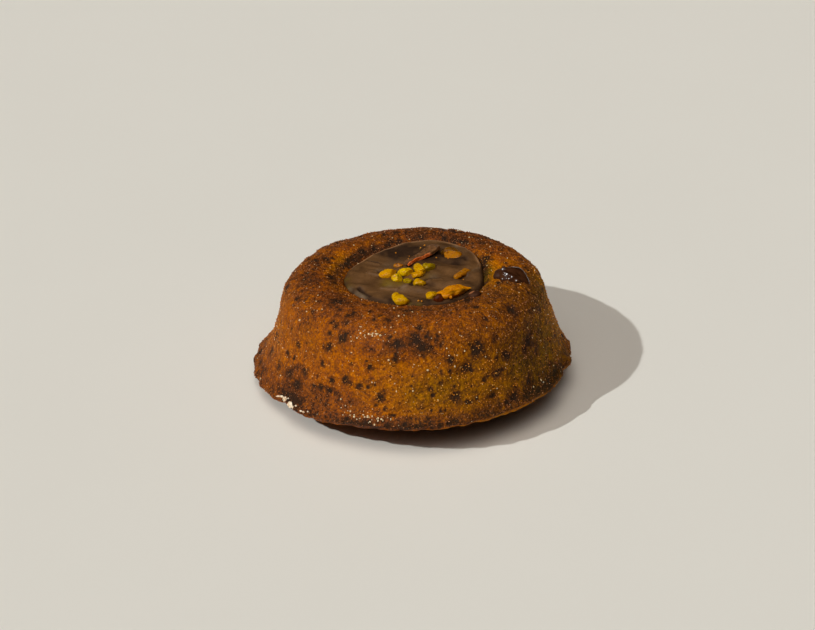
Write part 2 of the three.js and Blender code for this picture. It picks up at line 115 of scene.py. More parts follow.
# How dark the side is baked at heights, and the ring on top at distances from the axis
SIDE_BROWNING = [0, 5, 7.5, 10.5, 15, 21, 26, 29], [0.7, 0.64, 0.63, 0.51, 0.48, 0.49, 0.59, 0.67]
TOP_BROWNING = [17, 19, 22, 27, 31], [0.62, 0.62, 0.65, 0.66, 0.6]
# Soft-edged zones of the crust: angle, its spread, height, its spread, amount. The first ones say
# how much browner the side is, or paler if below zero
# Painted shade: the browner zone on the right side. Painted light: the paler zones along the lip's lower edge
SIDE_TONES = [
    (8, 26, 14, 6, -0.02), (-42, 7, 14.4, 2.2, -0.02), (55, 20, 17, 10, 0.19),
    (-54, 8, 9.4, 3.0, 0.28), (-54, 7, 7.4, 1.2, 0.25), (-4, 20, 25, 3.0, 0.12), (-80, 22, 9, 5, 0.10),
    (-24, 12, 22, 4, 0.04), (-5, 34, 6.6, 1.8, 0.31), (-48, 14, 10, 4, 0.06), (92, 16, 18, 9, -0.30),
    (-10, 60, 6.8, 1.2, 0.08), (0, 90, 4.5, 0.6, -0.34), (60, 22, 7.2, 1.5, 0.2), (48, 34, 4.9, 0.7, -0.45),
    (175, 40, 14, 6, -0.16), (-140, 25, 16, 6, -0.14), (120, 25, 12, 5, 0.12),
    (80, 14, 24, 3, 0.12), (-52, 6, 14.3, 2.0, 0.26), (-30, 11, 11.2, 2.6, 0.26), (-36, 7, 16.3, 2.6, 0.14),
    (-22, 9, 25, 2.0, 0.10), (-40, 6, 10.8, 1.8, 0.10),
]
# The same on the ring on top, with distance from the axis instead of height
# The zones about 18 from the axis darken the slope along the ganache's edge: painted shade
TOP_TONES = [
    (-85, 20, 25, 4, 0.14), (-118, 30, 20.8, 1.8, -0.18), (95, 28, 21.4, 2.2, -0.36), (180, 60, 25, 5, 0.16),
    (-48, 14, 24, 3, 0.16), (10, 45, 21, 4, 0.14), (96, 16, 18.4, 1.1, 0.55), (-132, 26, 18.0, 1.0, 0.5),
    (-85, 12, 18.6, 0.8, 0.3), (150, 30, 22, 4, 0.12), (44, 13, 20.6, 1.5, 0.34), (-130, 17, 17.6, 1.1, 0.35),
    (100, 9, 26.6, 2.0, -0.22), (-30, 10, 27.4, 3, 0.07),
]
# Where the crumb turns from amber to olive
# The olive over the right of the side, which lies away from the sun, is painted shade
OLIVE_STRETCHES = [
    (62, 40, 14, 14, 1.0), (8, 20, 14, 6, 0.55), (-115, 26, 27, 8, 0.15), (165, 40, 16, 10, 0.5),
    (82, 15, 24.5, 3.0, 0.6),
]
# The same on the slope down to the ganache, with distance from the axis
OLIVE_SLOPES = [(95, 26, 19.4, 1.4, 0.9), (-95, 40, 19.0, 1.6, 0.4)]
# Pits in the crust: place, radius, depth. They are painted dark like flecks: painted shade
PITS = [((18.1, 4.6, 27.5), 1.1, 1.0), ((18.6, -4.9, 27.2), 0.8, 0.5)]

# Fine steps of the meshes
CRUST_SEGMENTS = 620
REST_ROWS = 3
UNDERSIDE_ROWS = 16
LIP_ROWS = 14
SIDE_ROWS = 88
SLOPE_ROWS = 24
WELL_ROWS = 5
GANACHE_SEGMENTS = 300
GANACHE_TOP_ROWS = 96
CURVE_SAMPLES = 2000


def srgb(red, green, blue):
    """A colour as it looks on screen, 0 to 255, as the linear colour that shaders use."""
    shares = (red / 255, green / 255, blue / 255)
    return tuple(s / 12.92 if s <= 0.04045 else ((s + 0.055) / 1.055) ** 2.4 for s in shares)


def smooth(value, low, high):
    share = np.clip((value - low) / (high - low), 0, 1)
    return share * share * (3 - 2 * share)


def hump(value):
    """1 at 0, falling softly to nothing on both sides."""
    return np.exp(-(value**2))


def length_of(way):
    return np.linalg.norm(way, axis=-1)


def unit(way):
    """The same way with length 1."""
    return way / np.maximum(length_of(way), 1e-9)[..., None]


def dome(points, centre, radius):
    """1 at the centre, falling softly to nothing around it."""
    return hump(length_of(points - centre) / radius)


def apart(angle, other):
    """Degrees from one angle to another, the short way round."""
    return np.mod(angle - other + 180, 360) - 180


def vectors(*parts):
    """Puts columns of numbers side by side, such as x, y and z of points."""
    return np.stack(np.broadcast_arrays(*parts), axis=-1)


def around(angle, radius, height):
    """Points round the cake's own axis; the angle is in radians."""
    return vectors(radius * np.sin(angle), -radius * np.cos(angle), height)


def round_place(points):
    """Angle in degrees, distance from the cake's own axis, and height."""
    x, y, height = np.moveaxis(points, -1, 0)
    return np.degrees(np.arctan2(x, -y)), np.hypot(x, y), height


def turning(axis, degrees):
    """Matrix that turns points about the x, y or z axis: 0, 1 or 2."""
    sin, cos = math.sin(math.radians(degrees)), math.cos(math.radians(degrees))
    first, second = (axis + 1) % 3, (axis + 2) % 3
    matrix = np.eye(3)
    matrix[first, first] = matrix[second, second] = cos
    matrix[second, first], matrix[first, second] = sin, -sin
    return matrix


LEAN = turning(0, -LEAN_BACK) @ turning(1, -LEAN_LEFT)


def leant(points):
    return points @ LEAN.T


def upright(points):
    return points @ LEAN


def seeded_draws(seed):
    """Numbers from 0 to 1, the same row of numbers on every run."""
    state = seed
    while True:
        state = (state * 16807) % 2147483647
        yield state / 2147483647


def wave_relief(seed, fewest, most, step, swell):
    """Relief made of whole waves round the axis, so that it closes on itself."""
    draw = seeded_draws(seed)
    waves = [
        (turns, (next(draw) - 0.5) * 1.4, next(draw) * TAU, swell * (0.6 + 0.8 * next(draw)))
        for turns in range(fewest, most + 1, step)
    ]
    return lambda angle, height: sum(
        size * np.sin(turns * angle + climb * height + phase) for turns, climb, phase, size in waves
    )


crust_lumps = wave_relief(640, 3, 11, 2, 0.06)
crust_crags = wave_relief(97, 14, 41, 3, 0.03)
lip_crags = wave_relief(233, 11, 47, 4, 0.05)


def sum_of_waves(waves, angle):
    return sum(swell * np.cos(turns * (angle - math.radians(towards))) for turns, swell, towards in waves)


def between(values, whole, share):
    """Places on a smooth curve: shares of the way from value number whole + 1 to the next."""
    before, start, end, after = (values[whole + step] for step in range(4))
    leave, arrive = (end - before) / 2, (after - start) / 2
    bend, twist = 3 * (end - start) - 2 * leave - arrive, 2 * (start - end) + leave + arrive
    return start + share * (leave + share * (bend + share * twist))


def spline(points, shares):
    """Points at shares of the length of a smooth curve through the given points."""
    place = np.linspace(0, len(points) - 1, CURVE_SAMPLES)
    whole = np.minimum(place.astype(int), len(points) - 2)
    curve = between(np.array([points[0], *points, points[-1]], float), whole, (place - whole)[:, None])
    length = np.concatenate([[0], np.cumsum(length_of(np.diff(curve, axis=0)))])
    at = np.asarray(shares) * length[-1]
    return np.stack([np.interp(at, length, curve[:, i]) for i in range(curve.shape[1])], axis=1)


def round_interpolation(values, angle):
    """Smooth curve through values spaced evenly round a circle."""
    place = np.mod(angle / TAU, 1) * len(values)
    whole = place.astype(int)
    return between(np.array([values[-1], *values, *values[:2]]), whole, place - whole)


def lip_shift(angle):
    """How far the lip stands out of its circle and above its level."""
    out, up = sum_of_waves(LIP_WANDER, angle), sum_of_waves(LIP_RISE, angle)
    for swell_out, swell_up, towards, wide in LIP_SWELLS:
        share = hump(apart(np.degrees(angle), towards) / wide)
        out, up = out + swell_out * share, up + swell_up * share
    return out, up


OUTSIDE = [
    (LIP_RADIUS - 1.3, LIP_HEIGHT - LIP_THICKNESS),
    (LIP_RADIUS - 0.2, LIP_HEIGHT - 0.45 * LIP_THICKNESS),
    (LIP_RADIUS, LIP_HEIGHT),
    (LIP_RADIUS - 1.2, LIP_HEIGHT + LIP_THICKNESS),
    (WAIST_RADIUS, WAIST_HEIGHT),
    (MID_RADIUS, MID_HEIGHT),
    (SHOULDER_RADIUS, SHOULDER_HEIGHT),
    (0.5 * (SHOULDER_RADIUS + CREST_RADIUS) + 0.6, CREST_HEIGHT - 1.2),
    (CREST_RADIUS, CREST_HEIGHT),
]
SLOPE = [
    (CREST_RADIUS, CREST_HEIGHT),
    (WELL_MEAN_RADIUS + 4, CREST_HEIGHT - 0.35),
    (WELL_MEAN_RADIUS + 1.3, CONTACT_HEIGHT + 0.75),
    (WELL_MEAN_RADIUS, CONTACT_HEIGHT - 0.3),
]
WELL = [
    (WELL_MEAN_RADIUS, CONTACT_HEIGHT - 0.3),
    (WELL_MEAN_RADIUS - 0.5, CONTACT_HEIGHT - 3),
    (WELL_MEAN_RADIUS - 2.8, CREST_HEIGHT - WELL_DEPTH + 1.4),
    (0.5 * WELL_MEAN_RADIUS, CREST_HEIGHT - WELL_DEPTH + 0.2),
    (0, CREST_HEIGHT - WELL_DEPTH),
]


def lattice_values(x, y, z, seed):
    """A number from -1 to 1 for each whole-numbered place, with no pattern to the eye."""
    mixed = (x * 73856093) ^ (y * 19349663) ^ (z * 83492791) ^ (seed * 40503)
    mixed = (mixed & 0xFFFFFFFF) * 1274126177 & 0xFFFFFFFF
    mixed = ((mixed ^ (mixed >> 15)) * 2246822519) & 0xFFFFFFFF
    return ((mixed ^ (mixed >> 13)) & 0xFFFF) / 32767.5 - 1


def noise(points, size, seed):
    """Soft noise from -1 to 1 whose lumps are about size across."""
    place = points / size
    whole = np.floor(place).astype(np.int64)
    t = place - whole
    t = t * t * (3 - 2 * t)
    total = 0
    for corner in product((0, 1), repeat=3):
        weight = np.abs(1 - np.array(corner) - t).prod(axis=-1)
        total = total + weight * lattice_values(*np.moveaxis(whole + corner, -1, 0), seed)
    return total


def rough_noise(points, size, seed, layers=3):
    """Noise with ever finer layers on top of each other."""
    total = sum(noise(points, size / 2**i, seed + i) / 2**i for i in range(layers))
    return total / (2 - 0.5 ** (layers - 1))


def grains(points, size, seed):
    """Distance to the nearest of many scattered seeds, 0 at a seed and about 1 between them."""
    place = points / size
    whole = np.floor(place).astype(np.int64)
    nearest = np.full(points.shape[:-1], 9.0)
    for corner in product((-1, 0, 1), repeat=3):
        cell = whole + corner
        at = [lattice_values(*np.moveaxis(cell, -1, 0), seed + axis) for axis in range(3)]
        nearest = np.minimum(nearest, length_of(cell + 0.5 + 0.45 * vectors(*at) - place))
    return nearest


def place_round(radius, height, angle, share):
    """Moves a profile point out to its angle; share is how far it follows the well's own outline."""
    outline = round_interpolation(WELL_OUTLINE, angle) / WELL_MEAN_RADIUS
    points = around(angle, radius * (1 + (outline - 1) * share), height)
    points = points + vectors(share * WELL_CENTRE[0], share * WELL_CENTRE[1], 0)
    rise = smooth(height, CREST_HEIGHT - WELL_DEPTH, CONTACT_HEIGHT - 2) * REAR_RISE * points[..., 1]
    return points + vectors(0, 0, share * rise)


def depth_of_hollows(points):
    return sum(
        depth * dome(points, around(math.radians(angle), *spline(OUTSIDE, [along])[0]), radius)
        for angle, along, radius, depth in HOLLOWS
    )


# Rows of the crust's grid where the upper side starts, where it meets the crest, and where the ganache
ABOVE_ROW = REST_ROWS + UNDERSIDE_ROWS
CREST_ROW = ABOVE_ROW + LIP_ROWS + 1 + SIDE_ROWS
CONTACT_ROW = CREST_ROW + SLOPE_ROWS


def crust_profile():
    """Rows of the crust above the underside and the way out of each."""
    rows = np.concatenate([
        spline(OUTSIDE, np.linspace(0, LIP_SHARE, LIP_ROWS + 1)),
        spline(OUTSIDE, np.linspace(LIP_SHARE, 1, SIDE_ROWS + 1))[1:],
        spline(SLOPE, np.linspace(0, 1, SLOPE_ROWS + 1))[1:],
        spline(WELL, np.linspace(0, 1, WELL_ROWS + 1))[1:-1],
    ])
    step = np.gradient(rows, axis=0)
    return rows, unit(vectors(step[:, 1], -step[:, 0]))


def crust_above(angle):
    """The smooth crust from the edge of the lip to the floor of the well, in the cake's own frame."""
    rows, out = crust_profile()
    radius, height = rows[:, :1], rows[:, 1:]
    row = ABOVE_ROW + np.arange(len(rows))[:, None]
    inward = smooth((row + 1 - CREST_ROW) / SLOPE_ROWS, 0, 1)
    points = place_round(radius, height, angle, inward)
    lumps = crust_lumps(angle, height) + crust_crags(angle, 2 * height) - depth_of_hollows(points)
    relief = (1 - inward) * lumps + hump((height - LIP_HEIGHT) / 1.9) * lip_crags(angle, 0)
    relief = relief * (row < CONTACT_ROW)
    rim = hump((height - LIP_HEIGHT) / 4) * (row < CREST_ROW)
    body = smooth(height, LIP_HEIGHT + LIP_THICKNESS, MID_HEIGHT) * (1 - inward)
    top = smooth(height, MID_HEIGHT, CREST_HEIGHT - 1) * (1 - inward) * (row < CONTACT_ROW)
    lip_out, lip_up = lip_shift(angle)
    outward = relief * out[:, :1] + rim * lip_out + body * sum_of_waves(BODY_SHIFT, angle)
    up = relief * out[:, 1:] + rim * lip_up + top * sum_of_waves(CREST_RISE, angle)
    return points + around(angle, outward, up)


def crust_underside(lip_edge, angle):
    """The underside, from the flat spot on the table out to the edge of the lip, as it stands."""
    rows = [around(angle, REST_SPOT_RADIUS * (i + 1) / REST_ROWS, 0) for i in range(REST_ROWS)]
    flat = rows[-1]
    for i in range(1, UNDERSIDE_ROWS + 1):
        along = i / (UNDERSIDE_ROWS + 1)
        ring = flat + (lip_edge - flat) * along
        ring[:, 2] = np.maximum(lip_edge[:, 2] * along**UNDERSIDE_SWELL, LIP_GROUND_GAP * along)
        rows.append(ring)
    return np.stack(rows)


def grid_normals(points):
    """Normals of a grid whose second direction runs round the axis."""
    round_axis = np.roll(points, -1, axis=1) - np.roll(points, 1, axis=1)
    return unit(np.cross(round_axis, np.gradient(points, axis=0)))


def fleck_field(points, flecks):
    """How deep a point lies in a fleck: 1 at its middle, 0 at its edge, down to -1 outside."""
    flat = points.reshape(-1, 3)
    wobble = 1 + 0.5 * noise(flat, 1.5, 31) + 0.35 * noise(flat, 0.7, 33)
    field = np.full(len(flat), -1.0)
    draw = default_rng(3)
    for centre, radius in flecks:
        stretch = 1 + 0.5 * (draw.random(3) - 0.5)
        radius = FLECK_REACH * radius
        near = np.abs(flat - centre).max(axis=1) < 2.6 * radius
        distance = length_of((flat[near] - centre) * stretch) / radius * wobble[near]
        field[near] = np.maximum(field[near], 1 - distance)
    return field.reshape(points.shape[:-1])


def all_flecks(points):
    """The flecks that the front shows, and strays scattered over the whole crust."""
    flecks = [(around(math.radians(angle), radius, height), size) for angle, radius, height, size in FLECKS]
    # Pits are painted dark like the flecks: painted shade in the pits
    flecks += [(np.array(centre), 1.1 * size) for centre, size, _ in PITS]
    draw = default_rng(5)
    rows = draw.integers(ABOVE_ROW + 2, CONTACT_ROW - 4, STRAY_FLECKS)
    turns = draw.integers(0, CRUST_SEGMENTS, STRAY_FLECKS)
    sizes = 0.3 + 0.9 * draw.random(STRAY_FLECKS) ** 2.2
    for row, turn, size in zip(rows, turns, sizes):
        in_front = abs(apart(360 * turn / CRUST_SEGMENTS, 0)) < FLECKS_KNOWN_TO
        flecks.append((points[row, turn], min(size, 0.6) if in_front else 1.25 * size))
    return flecks


def zone_sum(angle, place, zones):
    """How much of the zones there is at an angle and a height or a distance from the axis."""
    return sum(
        amount * hump(apart(angle, at) / angle_spread) * hump((place - middle) / place_spread)
        for at, angle_spread, middle, place_spread, amount in zones
    )


def browning(points):
    """How dark the crust is, from ochre crumb at 0 to dark brown at 1: mostly how it is baked, with zones of
    painted light and shade.
    """
    angle, radius, height = round_place(points)
    side = np.interp(height, *SIDE_BROWNING) + zone_sum(angle, height, SIDE_TONES)
    top = np.interp(radius, *TOP_BROWNING) + zone_sum(angle, radius, TOP_TONES)
    on_top = smooth(height, 26.2, 28.4) * smooth(-radius, -32, -29)
    tone = side * (1 - on_top) + top * on_top
    return tone + 0.10 * rough_noise(points, 6.0, 77) + 0.08 * noise(points, 1.8, 79)


def olive_share(points):
    """How far the crumb is olive rather than amber."""
    angle, radius, height = round_place(points)
    share = zone_sum(angle, height, OLIVE_STRETCHES)
    share = share + smooth(height, 25.5, 27) * zone_sum(angle, radius, OLIVE_SLOPES)
    return np.clip(share + 0.25 * rough_noise(points, 5.0, 85), 0, 1)


def crust_relief(points, field):
    """Fine relief of the crust: crumb, wrinkles, a few pores and a ragged lip."""
    angle, radius, height = round_place(points)
    on_top = smooth(height, 25.5, 28)
    rim = hump((height - LIP_HEIGHT) / 2.6) * smooth(radius, 33, 36)
    relief = 0.05 * noise(points, 1.5, 11) + 0.12 * (0.55 - grains(points, 0.9, 21) ** 2)
    relief += 0.25 * (0.25 - np.abs(noise(points, 1.15, 65))) * np.maximum(on_top, rim)
    relief += 0.06 * rough_noise(points, 4.0, 12, 2)
    relief -= 0.2 * smooth(-grains(points, 4.6, 41), -0.18, -0.05)
    relief += 0.26 * rim * rough_noise(points, 1.2, 51)
    streaked = vectors(np.radians(angle) * 26 / 0.9, radius / 3.2, height / 3.2)
    relief += 0.05 * noise(streaked, 1.0, 61) * (0.25 + 0.75 * on_top)
    relief += 0.08 * smooth(field, 0.1, 0.7) * noise(points, 0.8, 63) - 0.12 * smooth(field, 0.0, 0.6)
    for centre, size, depth in PITS:
        relief -= depth * dome(points, centre, size)
    return relief


def lathe_faces(rows, segments):
    """Faces of a closed body: a first point, rings of points, and a last point."""
    ring = np.arange(segments)
    after = (ring + 1) % segments
    start = 1 + np.arange(rows - 1)[:, None] * segments
    quads = vectors(start + ring, start + after, start + segments + after, start + segments + ring)
    end = 1 + (rows - 1) * segments
    first_fan, last_fan = vectors(0, 1 + after, 1 + ring), vectors(end + ring, end + after, end + segments)
    return quads.reshape(-1, 4).tolist() + first_fan.tolist() + last_fan.tolist()


def in_scene(thing):
    bpy.context.scene.collection.objects.link(thing)
    return thing


def closed(first, rings, last):
    """Points of a closed body, or values kept on them: a first one, rings, and a last one."""
    return np.concatenate([[first], np.reshape(rings, (-1, *np.shape(first))), [last]])


def new_piece(name, points, faces, material, slot, *nodes, **numbers):
    """A mesh piece from points as they stand; numbers are values kept on its points."""
    mesh = bpy.data.meshes.new(name)
    mesh.from_pydata(points * MM, [], faces)
    mesh.update()
    mesh.validate()
    mesh.shade_smooth()
    for key, values in numbers.items():
        attribute = mesh.attributes.new(key, "FLOAT", "POINT")
        attribute.data.foreach_set("value", np.asarray(values, np.float32))
    mesh.materials.append(material)
    piece = in_scene(bpy.data.objects.new(name, mesh))
    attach(piece, "root")
    if nodes:
        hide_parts(*nodes)
    return piece


# Looks: colours are given as they seem on screen, 0 to 255, and sizes in millimetres

class Look:
    """Nodes of a material or world: each method adds a node and returns what comes out of it."""

    def __init__(self, owner):
        owner.use_nodes = True
        self.owner, self.tree = owner, owner.node_tree

    def wire(self, socket, value):
        """Links another node's output to a socket, or sets the socket's own value."""
        if isinstance(value, bpy.types.NodeSocket):
            self.tree.links.new(value, socket)
        else:
            socket.default_value = (*srgb(*value), 1) if socket.type == "RGBA" else value

    def add(self, kind, inputs, output=0, **settings):
        node = self.tree.nodes.new("ShaderNode" + kind)
        for key, value in settings.items():
            setattr(node, key, value)
        for key, value in inputs.items():
            self.wire(node.inputs[key], value)
        return node.outputs[output]

    def kept(self, key):
        """A number kept on the points of the piece."""
        return self.add("Attribute", {}, "Fac", attribute_name=key)

    def calc(self, operation, first, second):
        return self.add("Math", {0: first, 1: second}, operation=operation)

    def lumps(self, size):
        """Inputs of a texture whose lumps are about size across."""
        return {"Vector": self.add("TexCoord", {}, "Object"), "Scale": 1 / (size * MM)}

    def noise(self, size, detail=3.0, roughness=0.55, distortion=0.0):
        """Noise from 0 to 1."""
        shape = {"Detail": detail, "Roughness": roughness, "Distortion": distortion}
        return self.add("TexNoise", {**self.lumps(size), **shape}, "Fac")

    def swing(self, reach, *noise):
        """Noise about 0, as wide as reach."""
        return self.calc("MULTIPLY", self.calc("SUBTRACT", self.noise(*noise), 0.5), reach)

    def cells(self, size):
        """Distance from the middles of cells."""
        return self.add("TexVoronoi", self.lumps(size), "Distance")

    def spread(self, value, low, high, to_low=0.0, to_high=1.0):
        inputs = {"Value": value, "From Min": low, "From Max": high, "To Min": to_low, "To Max": to_high}
        return self.add("MapRange", inputs, "Result", clamp=True)

    def patchy(self, size, low, high):
        """Noise spread from low to high."""
        return self.spread(self.noise(size), 0.3, 0.7, low, high)

    def ramp(self, value, *stops):
        """A colour for a value: each stop is a place and a colour."""
        result = self.add("ValToRGB", {"Fac": value}, "Color")
        elements = result.node.color_ramp.elements
        while len(elements) < len(stops):
            elements.new(0.5)
        for element, (place, colour) in zip(elements, stops):
            element.position = place
            element.color = (*srgb(*colour), 1)
        return result

    def mix(self, share, first, second):
        return self.add("Mix", {"Factor": share, 6: first, 7: second}, 2, data_type="RGBA")

    def bump(self, height, depth, strength=1.0, under=None):
        """A bump whose full height is depth, over another bump if one is given."""
        inputs = {"Height": height, "Distance": depth * MM, "Strength": strength}
        if under is not None:
            inputs["Normal"] = under
        return self.add("Bump", inputs, "Normal")

    def done(self, colour, roughness, normal, specular=0.5, **more):
        """Wires the shader and returns the material."""
        inputs = {"Base Color": colour, "Roughness": roughness, "Normal": normal, **more}
        inputs["Specular IOR Level"] = specular
        for key, value in inputs.items():
            self.wire(self.tree.nodes["Principled BSDF"].inputs[key], value)
        return self.owner


def new_look(name):
    return Look(bpy.data.materials.new(name))


# Colours of the crust from pale crumb to dark brown, for amber and for olive crumb
AMBER_CRUMB = [(0.0, (208, 124, 0)), (0.4, (178, 94, 2)), (0.72, (128, 66, 24)), (1.0, (54, 34, 22))]
OLIVE_CRUMB = [(0.0, (176, 122, 0)), (0.4, (134, 92, 4)), (0.72, (80, 56, 16)), (1.0, (40, 32, 16))]
# Painted shade in the crevices between the crumb's grains
CREVICE_COLOUR = (60, 33, 10)
FLECK_COLOUR = (46, 32, 22)
FLECK_EDGE = (92, 48, 16)


def crust_material():
    look = new_look("baked_crust")
    speckled = look.calc("ADD", look.swing(1.0, 1.5), look.swing(1.1, 0.5, 2.0))
    tone = look.calc("ADD", look.kept("browning"), speckled)
    crumb = look.mix(look.kept("olive"), look.ramp(tone, *AMBER_CRUMB), look.ramp(tone, *OLIVE_CRUMB))
    # Painted shade between the grains
    crumb = look.mix(look.spread(look.cells(0.8), 0.4, 0.9, 0.0, 0.42), crumb, CREVICE_COLOUR)
    # Flecks of chocolate, and pits painted dark as painted shade
    depth = look.calc("ADD", look.kept("fleck"), look.swing(2.2, 0.7, 3.0, 0.65))
    stained = look.mix(look.spread(depth, -0.5, 0.2, 0.0, 0.65), crumb, FLECK_EDGE)
    colour = look.mix(look.spread(depth, -0.05, 0.6, 0.0, 0.95), stained, FLECK_COLOUR)
    shine = look.calc("MULTIPLY", look.kept("gloss"), 0.2)
    roughness = look.calc("SUBTRACT", look.patchy(1.6, 0.5, 0.66), shine)
    coarse = look.bump(look.cells(0.62), -0.22)
    return look.done(colour, roughness, look.bump(look.noise(0.38, 2.0, 0.6), 0.22, 1.0, coarse), 0.05)


def ganache_material():
    look = new_look("chocolate_ganache")
    cloud = look.noise(5.0, 3.0, 0.5, 0.8)
    colour = look.ramp(cloud, (0.25, (78, 52, 28)), (0.55, (102, 70, 40)), (0.8, (120, 84, 50)))
    # Layers: painted shade, syrup, painted sheen, a painted highlight on the rim, and darker smears
    layers = [
        (look.kept("shade"), (40, 22, 8)),
        (look.kept("syrup"), (110, 84, 14)),
        (look.kept("bloom"), (124, 102, 78)),
        (look.spread(look.kept("edge"), 0.2, 0.9, 0.0, 0.9), (160, 116, 78)),
        (look.spread(look.noise(0.9), 0.6, 0.75, 0.0, 0.5), (58, 36, 16)),
    ]
    for share, over in layers:
        colour = look.mix(share, colour, over)
    duller = look.calc("MULTIPLY", look.kept("shade"), 0.5)
    roughness = look.calc("ADD", look.patchy(2.4, 0.34, 0.5), duller)
    ripple = look.bump(look.noise(1.6, 2.0), 0.24, 0.7)
    return look.done(colour, roughness, look.bump(look.noise(0.45, 2.0), 0.04, 0.6, ripple), 0.16)


# Light passes a little way into the peel
MOIST = {"Subsurface Weight": 0.2, "Subsurface Radius": (1.0, 0.6, 0.1), "Subsurface Scale": 0.5 * MM}


def peel_material(name, pale, deep, tired, window=None):
    """Candied peel: a bright colour with deeper patches, moist."""
    look = new_look(name)
    colour = look.ramp(look.noise(0.9, 3.0, 0.6), (0.32, deep), (0.5, pale), (0.8, pale))
    colour = look.mix(look.spread(look.cells(0.4), 0.0, 0.3, 0.5, 0.0), colour, tired)
    if window:
        colour = look.mix(look.kept("window"), colour, window)
    coarse = look.bump(look.noise(0.7, 2.0), 0.16, 0.7)
    fine = look.bump(look.cells(0.35), 0.05, 0.6, coarse)
    return look.done(colour, look.patchy(0.8, 0.16, 0.4), fine, 0.14, **MOIST)


def strip_material():
    """Peel whose rind shows along the right edge, ganache smeared over the rest of its face."""
    look = new_look("peel_with_ganache")
    rind = look.ramp(look.noise(1.0), (0.3, (150, 62, 14)), (0.5, (218, 100, 34)), (0.7, (240, 150, 92)))
    smear = look.ramp(look.noise(0.9), (0.3, (74, 46, 24)), (0.7, (128, 86, 50)))
    bare = look.calc("ADD", look.kept("rind"), look.swing(0.8, 0.7))
    colour = look.mix(look.spread(bare, 0.4, 0.6), smear, rind)
    return look.done(colour, look.patchy(1.0, 0.35, 0.55), look.bump(look.noise(0.5), 0.14, 0.8), 0.15)


def chocolate_material():
    look = new_look("glossy_chocolate")
    base = look.ramp(look.noise(2.0), (0.3, (48, 24, 12)), (0.7, (74, 42, 22)))
    # A pale painted highlight along the rim, where the chocolate is also duller
    worn = look.spread(look.kept("edge"), 0.3, 0.9, 0.0, 0.85)
    colour = look.mix(worn, base, (186, 116, 72))
    dull = look.calc("MULTIPLY", look.calc("MAXIMUM", worn, look.kept("dulled")), 0.5)
    roughness = look.calc("ADD", look.spread(look.noise(1.4), 0.35, 0.7, 0.13, 0.2), dull)
    return look.done(colour, roughness, look.bump(look.noise(0.9, 2.0), 0.03, 0.5), 0.14)


def crystal_material():
    look = new_look("sugar_crystals")
    # Pale colours that stand in for glints: painted glints
    colour = look.ramp(look.noise(0.5), (0.3, (214, 172, 104)), (0.7, (250, 236, 200)))
    return look.done(colour, look.patchy(0.6, 0.15, 0.35), look.bump(look.noise(0.2), 0.02, 0.5))


def granule_material():
    """Golden grains on pale crumb, pinkish brown ones where the crust is dark; the palest of both are painted
    glints.
    """
    look = new_look("golden_granules")
    cloud = look.noise(0.8, 2.0)
    golden = look.ramp(
        cloud, (0.3, (166, 92, 14)), (0.52, (208, 126, 28)), (0.66, (234, 170, 74)), (0.78, (250, 222, 164)),
    )
    brown = look.ramp(cloud, (0.3, (106, 57, 27)), (0.55, (158, 96, 52)), (0.74, (214, 150, 102)))
    colour = look.mix(look.spread(look.kept("browning"), 0.48, 0.68), golden, brown)
    return look.done(colour, look.patchy(0.6, 0.3, 0.5), look.bump(look.noise(0.2), 0.02, 0.5), 0.2)


def flake_material():
    look = new_look("pale_flakes")
    colour = look.ramp(
        look.noise(0.7), (0.3, (166, 114, 72)), (0.46, (226, 196, 158)), (0.66, (246, 232, 208)),
    )
    return look.done(colour, look.patchy(0.5, 0.45, 0.7), look.bump(look.noise(0.35), 0.08, 0.8))


# The crust

# Where butter makes the crust shine: the lit shoulder, the lip and a patch of the side
GLOSS_ZONES = [(-17, 9, 27.2, 1.6, 1.0), (-20, 16, 7.7, 1.6, 0.8), (-42, 10, 14.4, 2.6, 0.4)]


def gloss_of(points):
    angle, _, height = round_place(points)
    return np.clip(zone_sum(angle, height, GLOSS_ZONES) + 0.12 * noise(points, 5.0, 91), 0, 1)


def crust():
    """The fine crust: returns its grid of points as it stands, and their normals."""
    angle = np.arange(CRUST_SEGMENTS) / CRUST_SEGMENTS * TAU
    above = leant(crust_above(angle))
    above[..., 2] = np.maximum(above[..., 2], LIP_GROUND_GAP)
    grid = np.concatenate([crust_underside(above[0], angle), above])
    own = upright(grid)
    field = fleck_field(own, all_flecks(own))
    row = np.arange(len(grid))[:, None]
    relief = crust_relief(own, field)
    relief = relief * smooth(row, REST_ROWS, REST_ROWS + 4) * smooth(-row, -CONTACT_ROW - 1, -CONTACT_ROW + 4)
    normals = grid_normals(grid)
    grid = grid + normals * relief[..., None]
    grid[..., 2] = np.maximum(grid[..., 2], np.where(row <= REST_ROWS, 0, 0.03))
    own = upright(grid)
    # Painted shade and light: darker in the relief's hollows, paler on its bumps, and near darkest brown
    # underneath
    under = smooth(-row, -ABOVE_ROW, -ABOVE_ROW + 6)
    tone = (browning(own) - 0.3 * relief) * (1 - under) + under * (0.98 + 0.12 * rough_noise(own, 5.0, 93))
    floor_of_well = leant(np.array([*WELL_CENTRE, CREST_HEIGHT - WELL_DEPTH]))
    new_piece(
        "crust", closed((0, 0, 0), grid, floor_of_well),
        lathe_faces(len(grid), CRUST_SEGMENTS), crust_material(), "crust", "cake",
        browning=closed(0.8, tone, 0.8), fleck=closed(-1, field, -1),
        gloss=closed(0, gloss_of(own), 0), olive=closed(0, olive_share(own), 0),
    )
    return grid, normals


# The ganache

# Rounded forms of the ganache's surface: place, radius, height
GANACHE_FORMS = [
    (14.6, -10.2, 2.1, 1.1), (-12.3, -6.3, 1.6, -0.7), (15.2, 10.5, 2.6, 0.8),
    (10.6, 11.6, 2.6, -1.2), (-6.0, 11.0, 4.0, -0.5), (2.0, 4.0, 4.5, 0.5),
    (4.2, -9.0, 3.2, -0.4),
]
